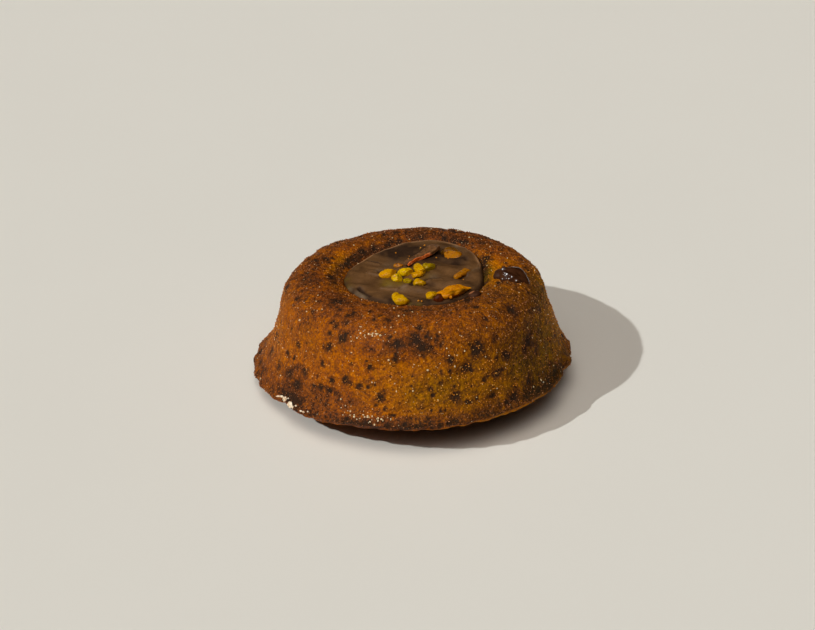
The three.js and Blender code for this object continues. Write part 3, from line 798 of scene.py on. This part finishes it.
# Small pits and bubbles: place, radius, height
GANACHE_PITS = [
    (0.8, -4.3, 0.9, -0.7), (-7.2, 3.6, 0.7, -0.7), (14.3, 7.6, 0.6, -0.45), (-2.8, 16.2, 0.7, -0.4),
    (2.7, 15.8, 0.7, -0.4), (12.3, 6.1, 1.6, -0.5), (15.4, -10.9, 0.5, 0.3),
]
# Creases: the points they run through, half width, height of the ridge (a groove if below zero)
GANACHE_CREASES = [
    ([(3.5, -2.5), (5.4, -1.5), (7.6, -1.8)], 0.36, -0.16),
    ([(3.4, -3.6), (5.6, -2.4), (7.8, -2.5)], 0.4, 0.28),
    ([(-10.8, 8.9), (-7.8, 8.2)], 0.5, 0.4), ([(-10.6, 9.9), (-8.2, 9.4)], 0.35, -0.35),
    ([(-13.6, -5.4), (-11.0, -10.6)], 0.5, 0.45), ([(-12.6, -4.6), (-9.8, -9.4)], 0.45, -0.3),
    ([(-10.2, 2.4), (-7.4, 1.7)], 0.6, 0.6), ([(-0.6, -6.6), (6.4, -8.2)], 1.1, 0.35),
    ([(14.2, -1.1), (17.2, 1.8)], 0.45, 0.6), ([(-7.0, -5.4), (-3.4, -6.7)], 0.55, 0.6),
    ([(-2.8, -6.4), (-0.6, -5.0)], 0.45, 0.5), ([(9.2, -5.0), (14.0, -4.4)], 0.9, 0.25),
    ([(1.4, -15.2), (5.6, -14.6)], 0.6, 0.3),
]
# Painted shade on the ganache, from the ribbon, the peel and hollows, and syrup of the fruit: place, radius,
# amount
GANACHE_SHADES = [
    (-2.2, 14.4, 3.6, 0.85), (3.4, 15.4, 2.6, 0.6), (12.6, 6.0, 2.2, 0.6), (10.4, 14.0, 2.6, 0.5),
    (4.9, -15.2, 2.6, 0.6), (-7.2, 3.6, 0.9, 0.9), (0.8, -4.3, 1.3, 0.9), (7.2, 10.6, 2.2, 0.6),
    (15.6, -6.4, 2.2, 0.4), (12.0, -13.8, 1.8, 0.6), (4.6, 8.4, 2.1, 0.95), (6.8, 11.2, 2.1, 0.95),
    (2.6, 5.6, 1.3, 0.7), (-12.5, -6.1, 0.8, 0.9),
    (12.2, -1.8, 1.5, 0.8), (11.4, 9.0, 2.0, 0.8), (-12.4, -6.6, 0.8, 0.8), (-4.5, -13.4, 2.0, 0.6),
    (-6.5, 15.4, 3.0, 0.6), (8.6, -4.4, 1.4, 0.3), (0.4, 16.6, 2.4, 0.35),
    (-4.5, 13.6, 2.6, 0.4), (-0.7, 14.6, 2.6, 0.35), (2.0, 12.0, 2.0, 0.45), (-3.5, 10.2, 2.0, 0.45),
    (8.2, 11.3, 1.4, 0.6), (8.9, 7.9, 1.2, 0.5), (11.0, 6.2, 1.3, 0.5), (13.8, 7.8, 1.1, 0.5),
    (-5.0, -10.9, 1.8, 0.5), (0.2, -13.1, 1.8, 0.5), (3.9, -13.5, 1.8, 0.4), (0.7, -3.5, 0.9, 0.6),
    (15.0, 10.2, 1.6, 0.3), (5.2, -4.9, 1.6, 0.5),
]
SYRUP_PLACES = [
    (-5.4, -3.2, 1.8, 0.8), (-2.4, -3.4, 1.4, 0.6), (3.0, 0.6, 2.2, 0.5), (-0.9, -14.2, 1.2, 0.7),
    (2.2, -14.9, 0.8, 0.6), (-15.8, 0.5, 1.0, 0.5), (-15.4, -3.0, 1.2, 0.4),
]
# Places of painted sheen, where the ganache catches the light as pale patches: place, radius, amount
BLOOM_PLACES = [
    (-13.2, -7.2, 1.1, 0.7), (-11.9, -9.0, 1.1, 0.8), (-15.0, -4.2, 1.2, 0.4), (-14.6, 6.4, 0.8, 0.4),
    (-5.2, -4.6, 0.9, 0.5), (-8.0, 4.4, 1.0, 0.3), (12.0, 15.4, 1.0, 0.5), (-5.0, 7.4, 2.2, 0.3),
    (-1.4, -6.0, 1.4, 0.5), (15.6, 0.9, 0.9, 0.5), (16.8, 2.0, 0.8, 0.45), (5.8, -0.4, 1.3, 0.3),
]

def distance_to_path(x, y, path):
    """Distance to the nearest place of a path through the given points."""
    nearest = np.inf
    for start, end in zip(path, path[1:]):
        run = np.array(end) - np.array(start)
        share = np.clip(((x - start[0]) * run[0] + (y - start[1]) * run[1]) / (run @ run), 0, 1)
        away = np.hypot(x - start[0] - share * run[0], y - start[1] - share * run[1])
        nearest = np.minimum(nearest, away)
    return nearest


def bumps_at(x, y, forms):
    """Sum of rounded forms: place, radius, height."""
    return sum(height * hump(np.hypot(x - at_x, y - at_y) / radius) for at_x, at_y, radius, height in forms)


def ganache_relief(x, y):
    waves = 0.16 * np.sin(0.55 * x + 0.9 * y) + 0.12 * np.sin(0.95 * y - 0.35 * x + 1.3)
    return waves + bumps_at(x, y, GANACHE_FORMS)


def ganache_folds(x, y):
    total = bumps_at(x, y, GANACHE_PITS)
    for path, width, height in GANACHE_CREASES:
        total = total + height * hump(distance_to_path(x, y, path) / width)
    swirl = vectors(x * 0.55 + y * 0.9, (y - 0.35 * x) * 0.4, 0)
    return total + 0.14 * rough_noise(vectors(x, y, 0), 4.0, 101, 2) + 0.2 * noise(swirl, 1.6, 103)


def ganache_numbers(x, y):
    """How much painted shade and painted sheen lie on the ganache, and how much syrup."""
    ragged = 1 + 0.4 * noise(vectors(x, y, 0), 1.2, 111)
    shade, syrup, bloom = (
        bumps_at(x, y, places) * ragged for places in (GANACHE_SHADES, SYRUP_PLACES, BLOOM_PLACES)
    )
    # Grooves get painted shade along them
    for path, width, height in GANACHE_CREASES:
        if height < 0:
            shade = shade + 1.2 * hump(distance_to_path(x, y, path) / (1.2 * width))
    return np.clip(shade, 0, 0.92), np.clip(syrup, 0, 0.8), np.clip(bloom, 0, 0.8)


def ganache_top(x, y):
    return GANACHE_TOP + REAR_RISE * y + ganache_relief(x, y)


def ganache_surface(x, y):
    """Height of the ganache at one place, with its fine folds."""
    return ganache_top(x, y) + ganache_folds(*np.array([[x], [y]]))[0]


# Where the edge of the ganache stands up, with a painted highlight along it as a pale line: angle, its
# spread, and how much
GANACHE_RIM = [(-118, 18, 0.8), (-150, 24, 0.8), (178, 26, 0.8), (142, 26, 1.0), (108, 20, 0.8)]


def ganache():
    """Ganache from the middle of its underside, round its edge and over its top."""
    angle = np.arange(GANACHE_SEGMENTS) / GANACHE_SEGMENTS * TAU
    edge = WELL_MEAN_RADIUS + 0.05
    flat_edge = edge - 0.95
    shape = spline(WELL, np.linspace(1, 0, WELL_ROWS + 1))[1:].tolist()
    shape += [(edge, CONTACT_HEIGHT - 0.1), (edge - 0.15, CONTACT_HEIGHT + 0.3)]
    shape += [(edge - 0.45, GANACHE_TOP - 0.18), (flat_edge, GANACHE_TOP - 0.02)]
    on_top = np.arange(len(shape) + GANACHE_TOP_ROWS - 1)[:, None] >= len(shape) - 3
    shape += [(flat_edge * (1 - i / GANACHE_TOP_ROWS), GANACHE_TOP) for i in range(1, GANACHE_TOP_ROWS)]
    radius, height = np.hsplit(np.array(shape), 2)
    points = place_round(radius, height, angle, 1.0)
    inward, out_of_well = edge - radius, height > CONTACT_HEIGHT
    x, y = points[..., 0], points[..., 1]
    relief = smooth(inward, 0.5, 3) * ganache_relief(x, y) + smooth(inward, 0.0, 1.2) * ganache_folds(x, y)
    raised = sum(amount * hump(apart(np.degrees(angle), at) / wide) for at, wide, amount in GANACHE_RIM)
    # The raised rim also gets a painted highlight through the edge number
    rim_line = raised * hump((inward - 0.55) / 0.32) * out_of_well
    points = points + vectors(0, 0, on_top * relief + 0.3 * rim_line)
    wobble = 0.28 * noise(points, 2.4, 107) + 0.15 * noise(points, 1.0, 109)
    points = points + around(angle, hump(inward / 1.1) * out_of_well * wobble, 0)
    bottom, middle = CREST_HEIGHT - WELL_DEPTH + 0.05, ganache_surface(*WELL_CENTRE)
    everything = closed((*WELL_CENTRE, bottom), points, (*WELL_CENTRE, middle))
    shade, syrup, bloom = ganache_numbers(everything[:, 0], everything[:, 1])
    # Painted shade along the edge of the ganache, except where its rim stands up
    sunk = hump((inward - 0.2) / 0.7) * np.clip(1 - 1.3 * raised, 0, 1) * 0.75
    new_piece(
        "ganache_pool", leant(everything), lathe_faces(len(shape), GANACHE_SEGMENTS), ganache_material(),
        "ganache", "ganache",
        edge=closed(0, rim_line, 0), shade=np.maximum(shade, closed(0, sunk, 0)), syrup=syrup, bloom=bloom,
    )


# Candied peel

PEEL_BIT_PROUD = 0.3
PEEL_BIT_SEEDS = (303, 3)
# Bits of peel half sunk in the ganache. For each kind: its pale, its deep and its tired colour, and then
# for each bit: place, length, width, height, turn
PEEL_BITS = {
    "yellow": [
        ((216, 172, 0), (188, 130, 0), (128, 82, 2)),
        (-1.2, 1.2, (4.0, 2.6, 2.2), -25), (-3.1, -1.6, (2.7, 2.5, 2.3), 0),
    ],
    "golden": [
        ((200, 148, 0), (172, 112, 0), (112, 68, 2)),
        (2.4, 1.9, (4.4, 2.4, 2.2), 112), (2.4, -4.1, (2.8, 2.8, 2.0), 80),
        (-3.3, -10.9, (2.6, 2.0, 1.8), 90), (-2.3, -13.0, (4.0, 3.4, 2.4), -20),
        (5.3, -10.8, (3.0, 2.2, 1.7), 15),
    ],
    "orange": [
        ((212, 148, 2), (182, 110, 2), (112, 64, 4)),
        (-5.4, 1.7, (4.6, 3.0, 2.2), 25), (1.8, -0.4, (3.0, 2.2, 1.8), 10),
    ],
    "amber": [
        ((170, 104, 6), (124, 66, 4), (76, 40, 6)),
        (-2.8, 5.6, (2.2, 1.4, 1.1), 0), (13.0, -0.6, (5.6, 2.4, 1.8), 52),
        (10.6, 10.7, (5.2, 3.8, 2.4), -10),
    ],
    "brown": [((118, 74, 16), (82, 50, 12), (54, 32, 8)), (9.8, 13.4, (4.6, 2.6, 2.2), 5)],
    "green": [
        ((160, 128, 2), (128, 100, 2), (72, 56, 4)),
        (4.4, 3.0, (4.0, 2.6, 2.2), 40), (-0.6, -2.5, (1.9, 1.7, 1.2), 0),
    ],
    "red": [((82, 32, 6), (54, 18, 4), (36, 14, 6)), (7.0, -12.9, (2.6, 2.4, 2.4), 0)],
}


def ball(rows, segments):
    """Points and faces of a ball of radius 1 made of rings."""
    tilt = np.linspace(0, math.pi, rows + 2)[1:-1, None]
    turn = np.arange(segments) / segments * TAU
    rings = vectors(np.sin(tilt) * np.cos(turn), np.sin(tilt) * np.sin(turn), -np.cos(tilt))
    return closed((0, 0, -1), rings, (0, 0, 1)), lathe_faces(rows, segments)


def turned(points, degrees):
    return points @ turning(2, degrees).T


def joined(parts):
    """Points and faces of several closed parts as one mesh."""
    faces, start = [], 0
    for points, part_faces in parts:
        faces += [[start + i for i in face] for face in part_faces]
        start += len(points)
    return np.concatenate([points for points, _ in parts]), faces


def chopped(points, draw, cuts=7):
    """Flat faces cut on a ball, as a knife leaves them."""
    for _ in range(cuts):
        way = unit(draw.normal(size=3))
        beyond = points @ way - (0.62 + 0.3 * draw.random())
        points = points - np.maximum(beyond, 0)[:, None] * way
    return points


def peel_bit(x, y, size, turn, seed):
    """A dice of peel: knife-cut, a little softened and dented."""
    points, faces = ball(30, 44)
    half = np.array(size) / 2
    body = chopped(points, default_rng(seed)) * half * 1.12
    place = body + 7.0 * seed
    lumps = 0.10 * noise(place, 1.1, seed) + 0.06 * noise(place, 0.5, seed + 1)
    body = body * (1 + lumps[:, None] * 1.4 / half.mean())
    return turned(body, turn) + [x, y, ganache_top(x, y) + PEEL_BIT_PROUD * half[2]], faces


def peel_bits():
    seeds = count(*PEEL_BIT_SEEDS)
    for kind, (colours, *bits) in PEEL_BITS.items():
        points, faces = joined([peel_bit(*bit, next(seeds)) for bit in bits])
        name = kind + "_peel"
        new_piece(name, leant(points), faces, peel_material(name, *colours), "peel", "ganache")


STRIP_TIP = np.array([-0.7, 4.6, 27.9])
STRIP_END = np.array([6.4, 14.2, 28.4])
STRIP_TIP_WIDTH = 2.0
STRIP_END_WIDTH = 3.8
STRIP_THICKNESS = 0.8
STRIP_ROLL = 10
STRIP_LIFT = 1.0


def strip():
    """A ribbon of peel on its left edge, its right edge lifted off the ganache."""
    points, faces = ball(40, 60)
    x, y, z = points[:, ::-1].T
    along = x / 2 + 0.5
    ends = (1 - np.abs(x) ** 8) ** 0.25
    round_share = np.maximum(np.sqrt(np.maximum(1 - x**2, 0)), 1e-6)
    across, through = y / round_share, z / round_share
    square = np.maximum(np.maximum(np.abs(across), np.abs(through)), 0.72)
    across, through = across / square, through / square
    width = STRIP_TIP_WIDTH + (STRIP_END_WIDTH - STRIP_TIP_WIDTH) * smooth(along, 0, 0.85)
    length = length_of(STRIP_END - STRIP_TIP)
    body = vectors(
        (along - 0.5) * length,
        across * width / 2 * ends + 0.5 * np.sin(along * 5.2),
        through * STRIP_THICKNESS / 2 * ends + 0.25 * np.sin(along * 7 + 1),
    )
    body = body + 0.16 * vectors(*(noise(body + 5 * i, 1.2, 401 + i) for i in range(3)))
    run = (STRIP_END - STRIP_TIP) / length
    pitch, heading = math.degrees(math.asin(run[2])), math.degrees(math.atan2(run[1], run[0]))
    placed = body @ (turning(2, heading) @ turning(1, -pitch) @ turning(0, -STRIP_ROLL)).T
    placed = placed + (STRIP_TIP + STRIP_END) / 2 + [0, 0, STRIP_LIFT]
    rind = smooth(-across, 0.42, 0.85) * (1 - 0.72 * smooth(along, 0.4, 0.72))
    faces = [face[::-1] for face in faces]
    new_piece("peel_ribbon", leant(placed), faces, strip_material(), "peel", "peel_strip", rind=rind)


ZEST_CENTRE = np.array([10.9, -10.9, 28.6])
ZEST_SIZE = (8.8, 4.0, 2.6)
ZEST_TURN = 15
ZEST_POINT = 0.75
# Its pale, its deep and its tired colour, and that of its clear windows and of a painted shade
ZEST_COLOURS = (208, 130, 2), (176, 94, 2), (116, 60, 4), (84, 56, 6)


def zest():
    """A large leaf of candied zest, pointed on the right, its near side folded under."""
    points, faces = ball(64, 96)
    x, y, z = points.T
    ruffle = 1 + 0.12 * np.sin(5 * x + 2 * y) + 0.08 * np.sin(9 * x - 3 * z)
    girth = ruffle * (1 - ZEST_POINT * smooth(x, 0.1, 1))
    fold = 0.5 * hump((y + 0.35) / 0.3) * (z > 0)
    body = vectors(
        x * ZEST_SIZE[0] / 2,
        y * ZEST_SIZE[1] / 2 * girth + 0.35 * np.sin(2.6 * x),
        z * ZEST_SIZE[2] / 2 * girth * (1 - fold),
    )
    wrinkle = 0.2 * noise(body * [0.5, 1, 1], 0.9, 501) + 0.08 * noise(body, 0.4, 503)
    body = body + points * wrinkle[:, None]
    bead, bead_faces = ball(14, 20)
    drip = bead * [0.45, 0.9, 0.45] + [-1.6, -2.2, -0.2]
    body, faces = joined([(body, faces), (drip, bead_faces)])
    window = hump((x + 0.16) / 0.26) * hump((y + 0.66) / 0.3) * (z > -0.6)
    # The second patch, on the near side towards the point, is painted shade
    window = 0.9 * (window + hump((x - 0.5) / 0.3) * hump((y + 0.8) / 0.4))
    window = np.concatenate([np.minimum(window, 0.95), np.zeros(len(drip))])
    new_piece(
        "zest_curl", leant(turned(body, ZEST_TURN) + ZEST_CENTRE), faces,
        peel_material("candied_orange", *ZEST_COLOURS), "zest", "candied_zest", window=window,
    )


DROP_CENTRE = np.array([25.1, -4.6, 27.8])
DROP_SIZE = (9.6, 6.8, 5.0)
DROP_TILT = 17
DROP_TURN = -12
DROP_BLISTER_WIDTH = 0.15
# Blisters of the bean: way out from its middle, height, radius of the flat on its front left
DROP_BLISTERS = [
    ((-0.55, -0.02, 0.84), 0.6, 0.36), ((-0.46, -0.47, 0.76), 0.5, 0.26), ((-0.24, -0.63, 0.74), 0.44, 0.42),
    ((0.05, -0.71, 0.70), 0.46, 0.38), ((-0.08, -0.85, 0.52), 0.34, 0.3), ((0.34, -0.81, 0.47), 0.5, 0.36),
]
# Way that the flats of the blisters face, as the cake stands
FLATS_FACE = np.array([-0.368, -0.668, 0.647])


def flattened(points, placed, rows, segments):
    """Presses a small flat into each blister of the bean, where it faces the front left already."""
    facing = upright(FLATS_FACE)
    normals = grid_normals(placed[1:-1].reshape(rows, segments, 3)).reshape(-1, 3)
    turned_to = closed(-1, np.abs(normals @ facing), -1)
    for way, _, radius in DROP_BLISTERS:
        near = length_of(points - way) < DROP_BLISTER_WIDTH
        middle = placed[np.argmax(np.where(near, turned_to, -1))]
        share = smooth(-length_of(placed - middle) / radius, -1.0, -0.75)
        placed = placed - (share * ((placed - middle) @ facing))[:, None] * facing
    return placed


def drop():
    """A glossy bean of chocolate set in the right of the shoulder."""
    rows, segments = 150, 220
    points, faces = ball(rows, segments)
    x, y, z = points.T
    dent = 1 + 0.08 * np.sin(4 * x + 1) + 0.06 * np.sin(5 * y - 2 * x)
    body = vectors(
        x * DROP_SIZE[0] / 2,
        y * DROP_SIZE[1] / 2 * (1 - 0.18 * x) * dent + 0.9 * (1 - x * x),
        z * DROP_SIZE[2] / 2 * dent,
    )
    relief = 0.22 * noise(body, 1.9, 601) + 0.08 * noise(body, 1.15, 603)
    for way, height, _ in DROP_BLISTERS:
        relief = relief + height * dome(points, way, DROP_BLISTER_WIDTH)
    body = body + points * relief[:, None]
    placed = turned(body @ turning(1, DROP_TILT).T, DROP_TURN) + DROP_CENTRE
    # The edge number is a painted highlight along the bean's rear rim
    new_piece(
        "chocolate_bean", leant(flattened(points, placed, rows, segments)), faces, chocolate_material(),
        "chocolate", "chocolate_drop",
        edge=smooth(y + 0.2 * x, 0.72, 0.98) * (z > -0.2), dulled=smooth(-x, 0.5, 0.85),
    )


BEAD_PLACE = np.array([15.9, -12.9, 28.1])
BEAD_SIZE = (3.4, 2.8, 2.3)
BEAD_TURN = 35


def chocolate_bead():
    """A bead of chocolate that ran over the edge of the well."""
    points, faces = ball(24, 36)
    body = points * (1 + 0.12 * noise(points * 2, 1.2, 621))[:, None] * np.array(BEAD_SIZE) / 2
    # A painted highlight along the top of the bead
    edge = 0.75 * smooth(points @ [-0.3, 0.6, 0.8], 0.72, 0.98)
    new_piece(
        "chocolate_bead", leant(turned(body, BEAD_TURN) + BEAD_PLACE), faces, chocolate_material(),
        "chocolate", "cake", edge=edge, dulled=np.ones(len(points)),
    )


# Small things on the crust

CRYSTALS = 420
GRANULES = 7600
# How far the middle of a stone stands out, as a share of its size
STONE_PROUD = 0.3
# Smallest size of each kind of stone, how much larger the largest is, and how rare large ones are
CRYSTAL_SIZES = (0.08, 0.11, 2)
GATHERED_SIZES = (0.11, 0.15, 1)
GRANULE_SIZES = (0.08, 0.10, 1.5)
# Zones where the pale crystals, painted glints, gather, and how many
CRYSTAL_CLUSTERS = [
    (-18.3, 2.4, 27.2, 0.5, 16), (-14.5, 1.8, 27.3, 0.4, 14), (-20, 5, 8.4, 0.7, 24), (-14, 1.6, 8.2, 0.4, 8),
    (-10, 26, 22, 4, 30),
]


def pebble(draw, size):
    """A small uneven stone with 20 faces."""
    gold = (1 + 5**0.5) / 2
    corners = np.array([
        (-1, gold, 0), (1, gold, 0), (-1, -gold, 0), (1, -gold, 0), (0, -1, gold), (0, 1, gold),
        (0, -1, -gold), (0, 1, -gold), (gold, 0, -1), (gold, 0, 1), (-gold, 0, -1), (-gold, 0, 1),
    ]) / math.hypot(1, gold)
    faces = [
        (0, 11, 5), (0, 5, 1), (0, 1, 7), (0, 7, 10), (0, 10, 11), (1, 5, 9), (5, 11, 4),
        (11, 10, 2), (10, 7, 6), (7, 1, 8), (3, 9, 4), (3, 4, 2), (3, 2, 6), (3, 6, 8),
        (3, 8, 9), (4, 9, 5), (2, 4, 11), (6, 2, 10), (8, 6, 7), (9, 8, 1),
    ]
    uneven = 1 + 0.25 * (draw.random((12, 1)) - 0.5)
    return corners * uneven * size * (0.7 + 0.6 * draw.random(3)), faces


def nearest_place(own, angle, height):
    """Row and turn of the crust's grid at an angle in degrees and a height of the cake's own frame."""
    turn = int(round(angle / 360 * CRUST_SEGMENTS)) % CRUST_SEGMENTS
    first = ABOVE_ROW + 2
    return first + int(np.abs(own[first:CREST_ROW - 1, turn, 2] - height).argmin()), turn


def crust_places(draw, count, own):
    """Rows and turns of the crust's grid, spread evenly over its surface."""
    places = []
    while len(places) < count:
        row, turn = draw.integers(ABOVE_ROW + 3, CONTACT_ROW - 2), draw.integers(0, CRUST_SEGMENTS)
        if draw.random() < np.hypot(*own[row, turn, :2]) / LIP_RADIUS:
            places.append((row, turn))
    return places


def clustered_places(draw, own):
    """Places where crystals gather."""
    places = []
    for angle, angle_spread, height, height_spread, count in CRYSTAL_CLUSTERS:
        for _ in range(count):
            at = angle + angle_spread * draw.normal()
            places.append(nearest_place(own, at, height + height_spread * draw.normal()))
    return places


# Crumbs that fell on the ganache, some set where glints show, their pale colour a painted glint: place, size
FALLEN_CRUMBS = [
    (2.7, 15.0, 0.3), (-3.6, 13.8, 0.26), (2.1, -13.7, 0.26), (2.9, -14.2, 0.28), (6.7, 9.3, 0.22),
    (3.7, 17.3, 0.22), (6.5, 13.9, 0.2), (9.6, 8.7, 0.26), (13.2, -3.0, 0.2), (-0.2, 11.7, 0.16),
    (-0.4, 9.6, 0.22),
]


def fallen_crumbs():
    """Crumbs of the crust that lie on the ganache, as closed parts."""
    draw = default_rng(23)
    parts = []
    for x, y, size in FALLEN_CRUMBS:
        stone, faces = pebble(draw, size)
        parts.append((leant(stone + [x, y, ganache_surface(x, y) + STONE_PROUD * size]), faces))
    return parts


def stone_sizes(draw, count, smallest, more, rarity):
    return smallest + more * draw.random(count) ** rarity


def stones(name, material, draw, places, sizes, grid, normals, tones, fallen=()):
    """A piece of many small stones on the crust, and of others that are made already."""
    parts = []
    for place, size in zip(places, sizes):
        stone, faces = pebble(draw, size)
        parts.append((stone + grid[place] + normals[place] * STONE_PROUD * size, faces))
    points, faces = joined([*parts, *fallen])
    shades = np.repeat([tones[place] for place in places] + [0] * len(fallen), len(stone))
    new_piece(name, points, faces, material, "crust", browning=shades).data.shade_flat()


def scattered_stones(grid, normals):
    """Tiny pale crystals, which are painted glints, and golden granules, the crumb's grain with painted
    glints among it.
    """
    own = upright(grid)
    ground = grid, normals, browning(own)
    draw = default_rng(17)
    gathered = clustered_places(draw, own)
    places = crust_places(draw, CRYSTALS, own) + gathered
    sizes = stone_sizes(draw, len(places), *CRYSTAL_SIZES)
    sizes[CRYSTALS:] = stone_sizes(draw, len(gathered), *GATHERED_SIZES)
    stones("sugar_crystals", crystal_material(), draw, places, sizes, *ground)
    draw = default_rng(19)
    places = crust_places(draw, GRANULES, own)
    sizes = stone_sizes(draw, GRANULES, *GRANULE_SIZES)
    stones("golden_granules", granule_material(), draw, places, sizes, *ground, fallen_crumbs())


# Pale flakes stuck to the lip: angle, height, length, width, turn on the surface
FLAKES = [
    (-59.7, 6.6, 2.4, 0.45, 22), (-57.0, 6.5, 1.6, 1.1, 16), (-51.8, 6.6, 1.9, 1.3, 14),
    (-49.0, 7.0, 0.6, 0.45, 0), (-54.4, 7.2, 0.5, 0.3, 40), (-45.4, 6.5, 0.7, 0.4, 0),
    (-43.9, 6.6, 0.7, 0.45, 20), (-50.0, 6.3, 0.8, 0.4, 70), (-42.6, 6.8, 0.4, 0.3, 0),
]
FLAKE_THICKNESS = 0.28
FLAKE_CUTS = 16
FLAKE_GIRTH = 0.64


def lip_flakes(grid, normals):
    own = upright(grid)
    parts = []
    for i, (angle, height, length, width, turn) in enumerate(FLAKES):
        points, faces = ball(12, 20)
        body = chopped(points, default_rng(720 + i), FLAKE_CUTS)
        body = body * [length, width, FLAKE_THICKNESS] * FLAKE_GIRTH
        body = turned(body + 0.05 * length * noise(points + 9 * i, 0.6, 701 + i)[:, None], turn)
        row, column = nearest_place(own, angle, height)
        out = normals[row, column]
        side = grid[row, (column + 2) % CRUST_SEGMENTS] - grid[row, column - 2]
        side = unit(side - out * (side @ out))
        axes = np.stack([side, np.cross(out, side), out])
        parts.append((body @ axes + grid[row, column] + 0.5 * FLAKE_THICKNESS * out, faces))
    new_piece("pale_flakes", *joined(parts), flake_material(), "crust").data.shade_flat()


# Floor, light and camera

IMAGE_WIDTH = 815
FOCAL_PIXELS = 2400
CAMERA_DISTANCE = 0.600
CAMERA_ELEVATION = math.radians(31.78)
CAMERA_TARGET = Vector((0, 0, 0.015))
TARGET_RIGHT_PIXELS = 9.17
TARGET_DOWN_PIXELS = 10.86
SENSOR_WIDTH = 36
KEY_STRENGTH = 1.95
KEY_COLOUR = (0.935, 0.985, 1.0)
KEY_DEGREES_WIDE = 1.0
SHADOW_RUN = Vector((1.03, 0.56, -1))
SKY_COLOUR = (1.0, 0.945, 0.895, 1)
SKY_RADIANCE = 6.1
SKY_NARROWNESS = 22.0
SKY_MIDDLE = Vector((-0.05, -0.4, 0.92))
FLOOR_HALF = 6.0
FLOOR_COLOURS = [(231.11, 226.59, 216.46), (233.65, 229.19, 219.22)]
FLOOR_CLOUDS = 60.0


def camera():
    data = bpy.data.cameras.new("camera")
    data.sensor_width = SENSOR_WIDTH
    data.lens = FOCAL_PIXELS * SENSOR_WIDTH / IMAGE_WIDTH
    data.shift_x = -TARGET_RIGHT_PIXELS / IMAGE_WIDTH
    data.shift_y = TARGET_DOWN_PIXELS / IMAGE_WIDTH
    data.clip_start = 0.01
    back = Vector((0, -math.cos(CAMERA_ELEVATION), math.sin(CAMERA_ELEVATION)))
    eye = in_scene(bpy.data.objects.new("camera", data))
    eye.location = CAMERA_TARGET + back * CAMERA_DISTANCE
    eye.rotation_euler = (math.pi / 2 - CAMERA_ELEVATION, 0, 0)
    bpy.context.scene.camera = eye


def lights():
    """A hard sun from the front left, and a soft sky that is brightest high in front."""
    data = bpy.data.lights.new("key", "SUN")
    data.energy = KEY_STRENGTH
    data.color = KEY_COLOUR
    data.angle = math.radians(KEY_DEGREES_WIDE)
    key = in_scene(bpy.data.objects.new("key", data))
    key.location = -SHADOW_RUN
    key.rotation_mode = "QUATERNION"
    key.rotation_quaternion = SHADOW_RUN.to_track_quat("-Z", "Y")
    world = bpy.data.worlds.new("studio")
    look = Look(world)
    way = look.add("TexCoord", {}, "Generated")
    towards = look.add("VectorMath", {0: way, 1: SKY_MIDDLE.normalized()}, "Value", operation="DOT_PRODUCT")
    glow = look.calc("POWER", look.calc("MAXIMUM", towards, 0.0), SKY_NARROWNESS)
    background = look.tree.nodes["Background"]
    background.inputs["Color"].default_value = SKY_COLOUR
    look.wire(background.inputs["Strength"], look.calc("MULTIPLY", glow, SKY_RADIANCE))
    bpy.context.scene.world = world


def floor():
    look = new_look("pale_floor")
    colour = look.ramp(look.noise(FLOOR_CLOUDS, 2.0), *enumerate(FLOOR_COLOURS))
    shader = look.tree.nodes["Principled BSDF"]
    look.wire(shader.inputs["Base Color"], colour)
    shader.inputs["Roughness"].default_value = 0.7
    corners = [(x * FLOOR_HALF, y * FLOOR_HALF, 0) for x, y in ((-1, -1), (1, -1), (1, 1), (-1, 1))]
    mesh = bpy.data.meshes.new("floor")
    mesh.from_pydata(corners, [], [(0, 1, 2, 3)])
    mesh.materials.append(look.owner)
    in_scene(bpy.data.objects.new("floor", mesh))


def colour_management():
    view = bpy.context.scene.view_settings
    view.view_transform = "Standard"
    view.look = "None"
    view.exposure = 0
    view.gamma = 1


camera()
lights()
floor()
colour_management()
crust_grid, crust_normals = crust()
ganache()
peel_bits()
strip()
zest()
drop()
chocolate_bead()
scattered_stones(crust_grid, crust_normals)
lip_flakes(crust_grid, crust_normals)
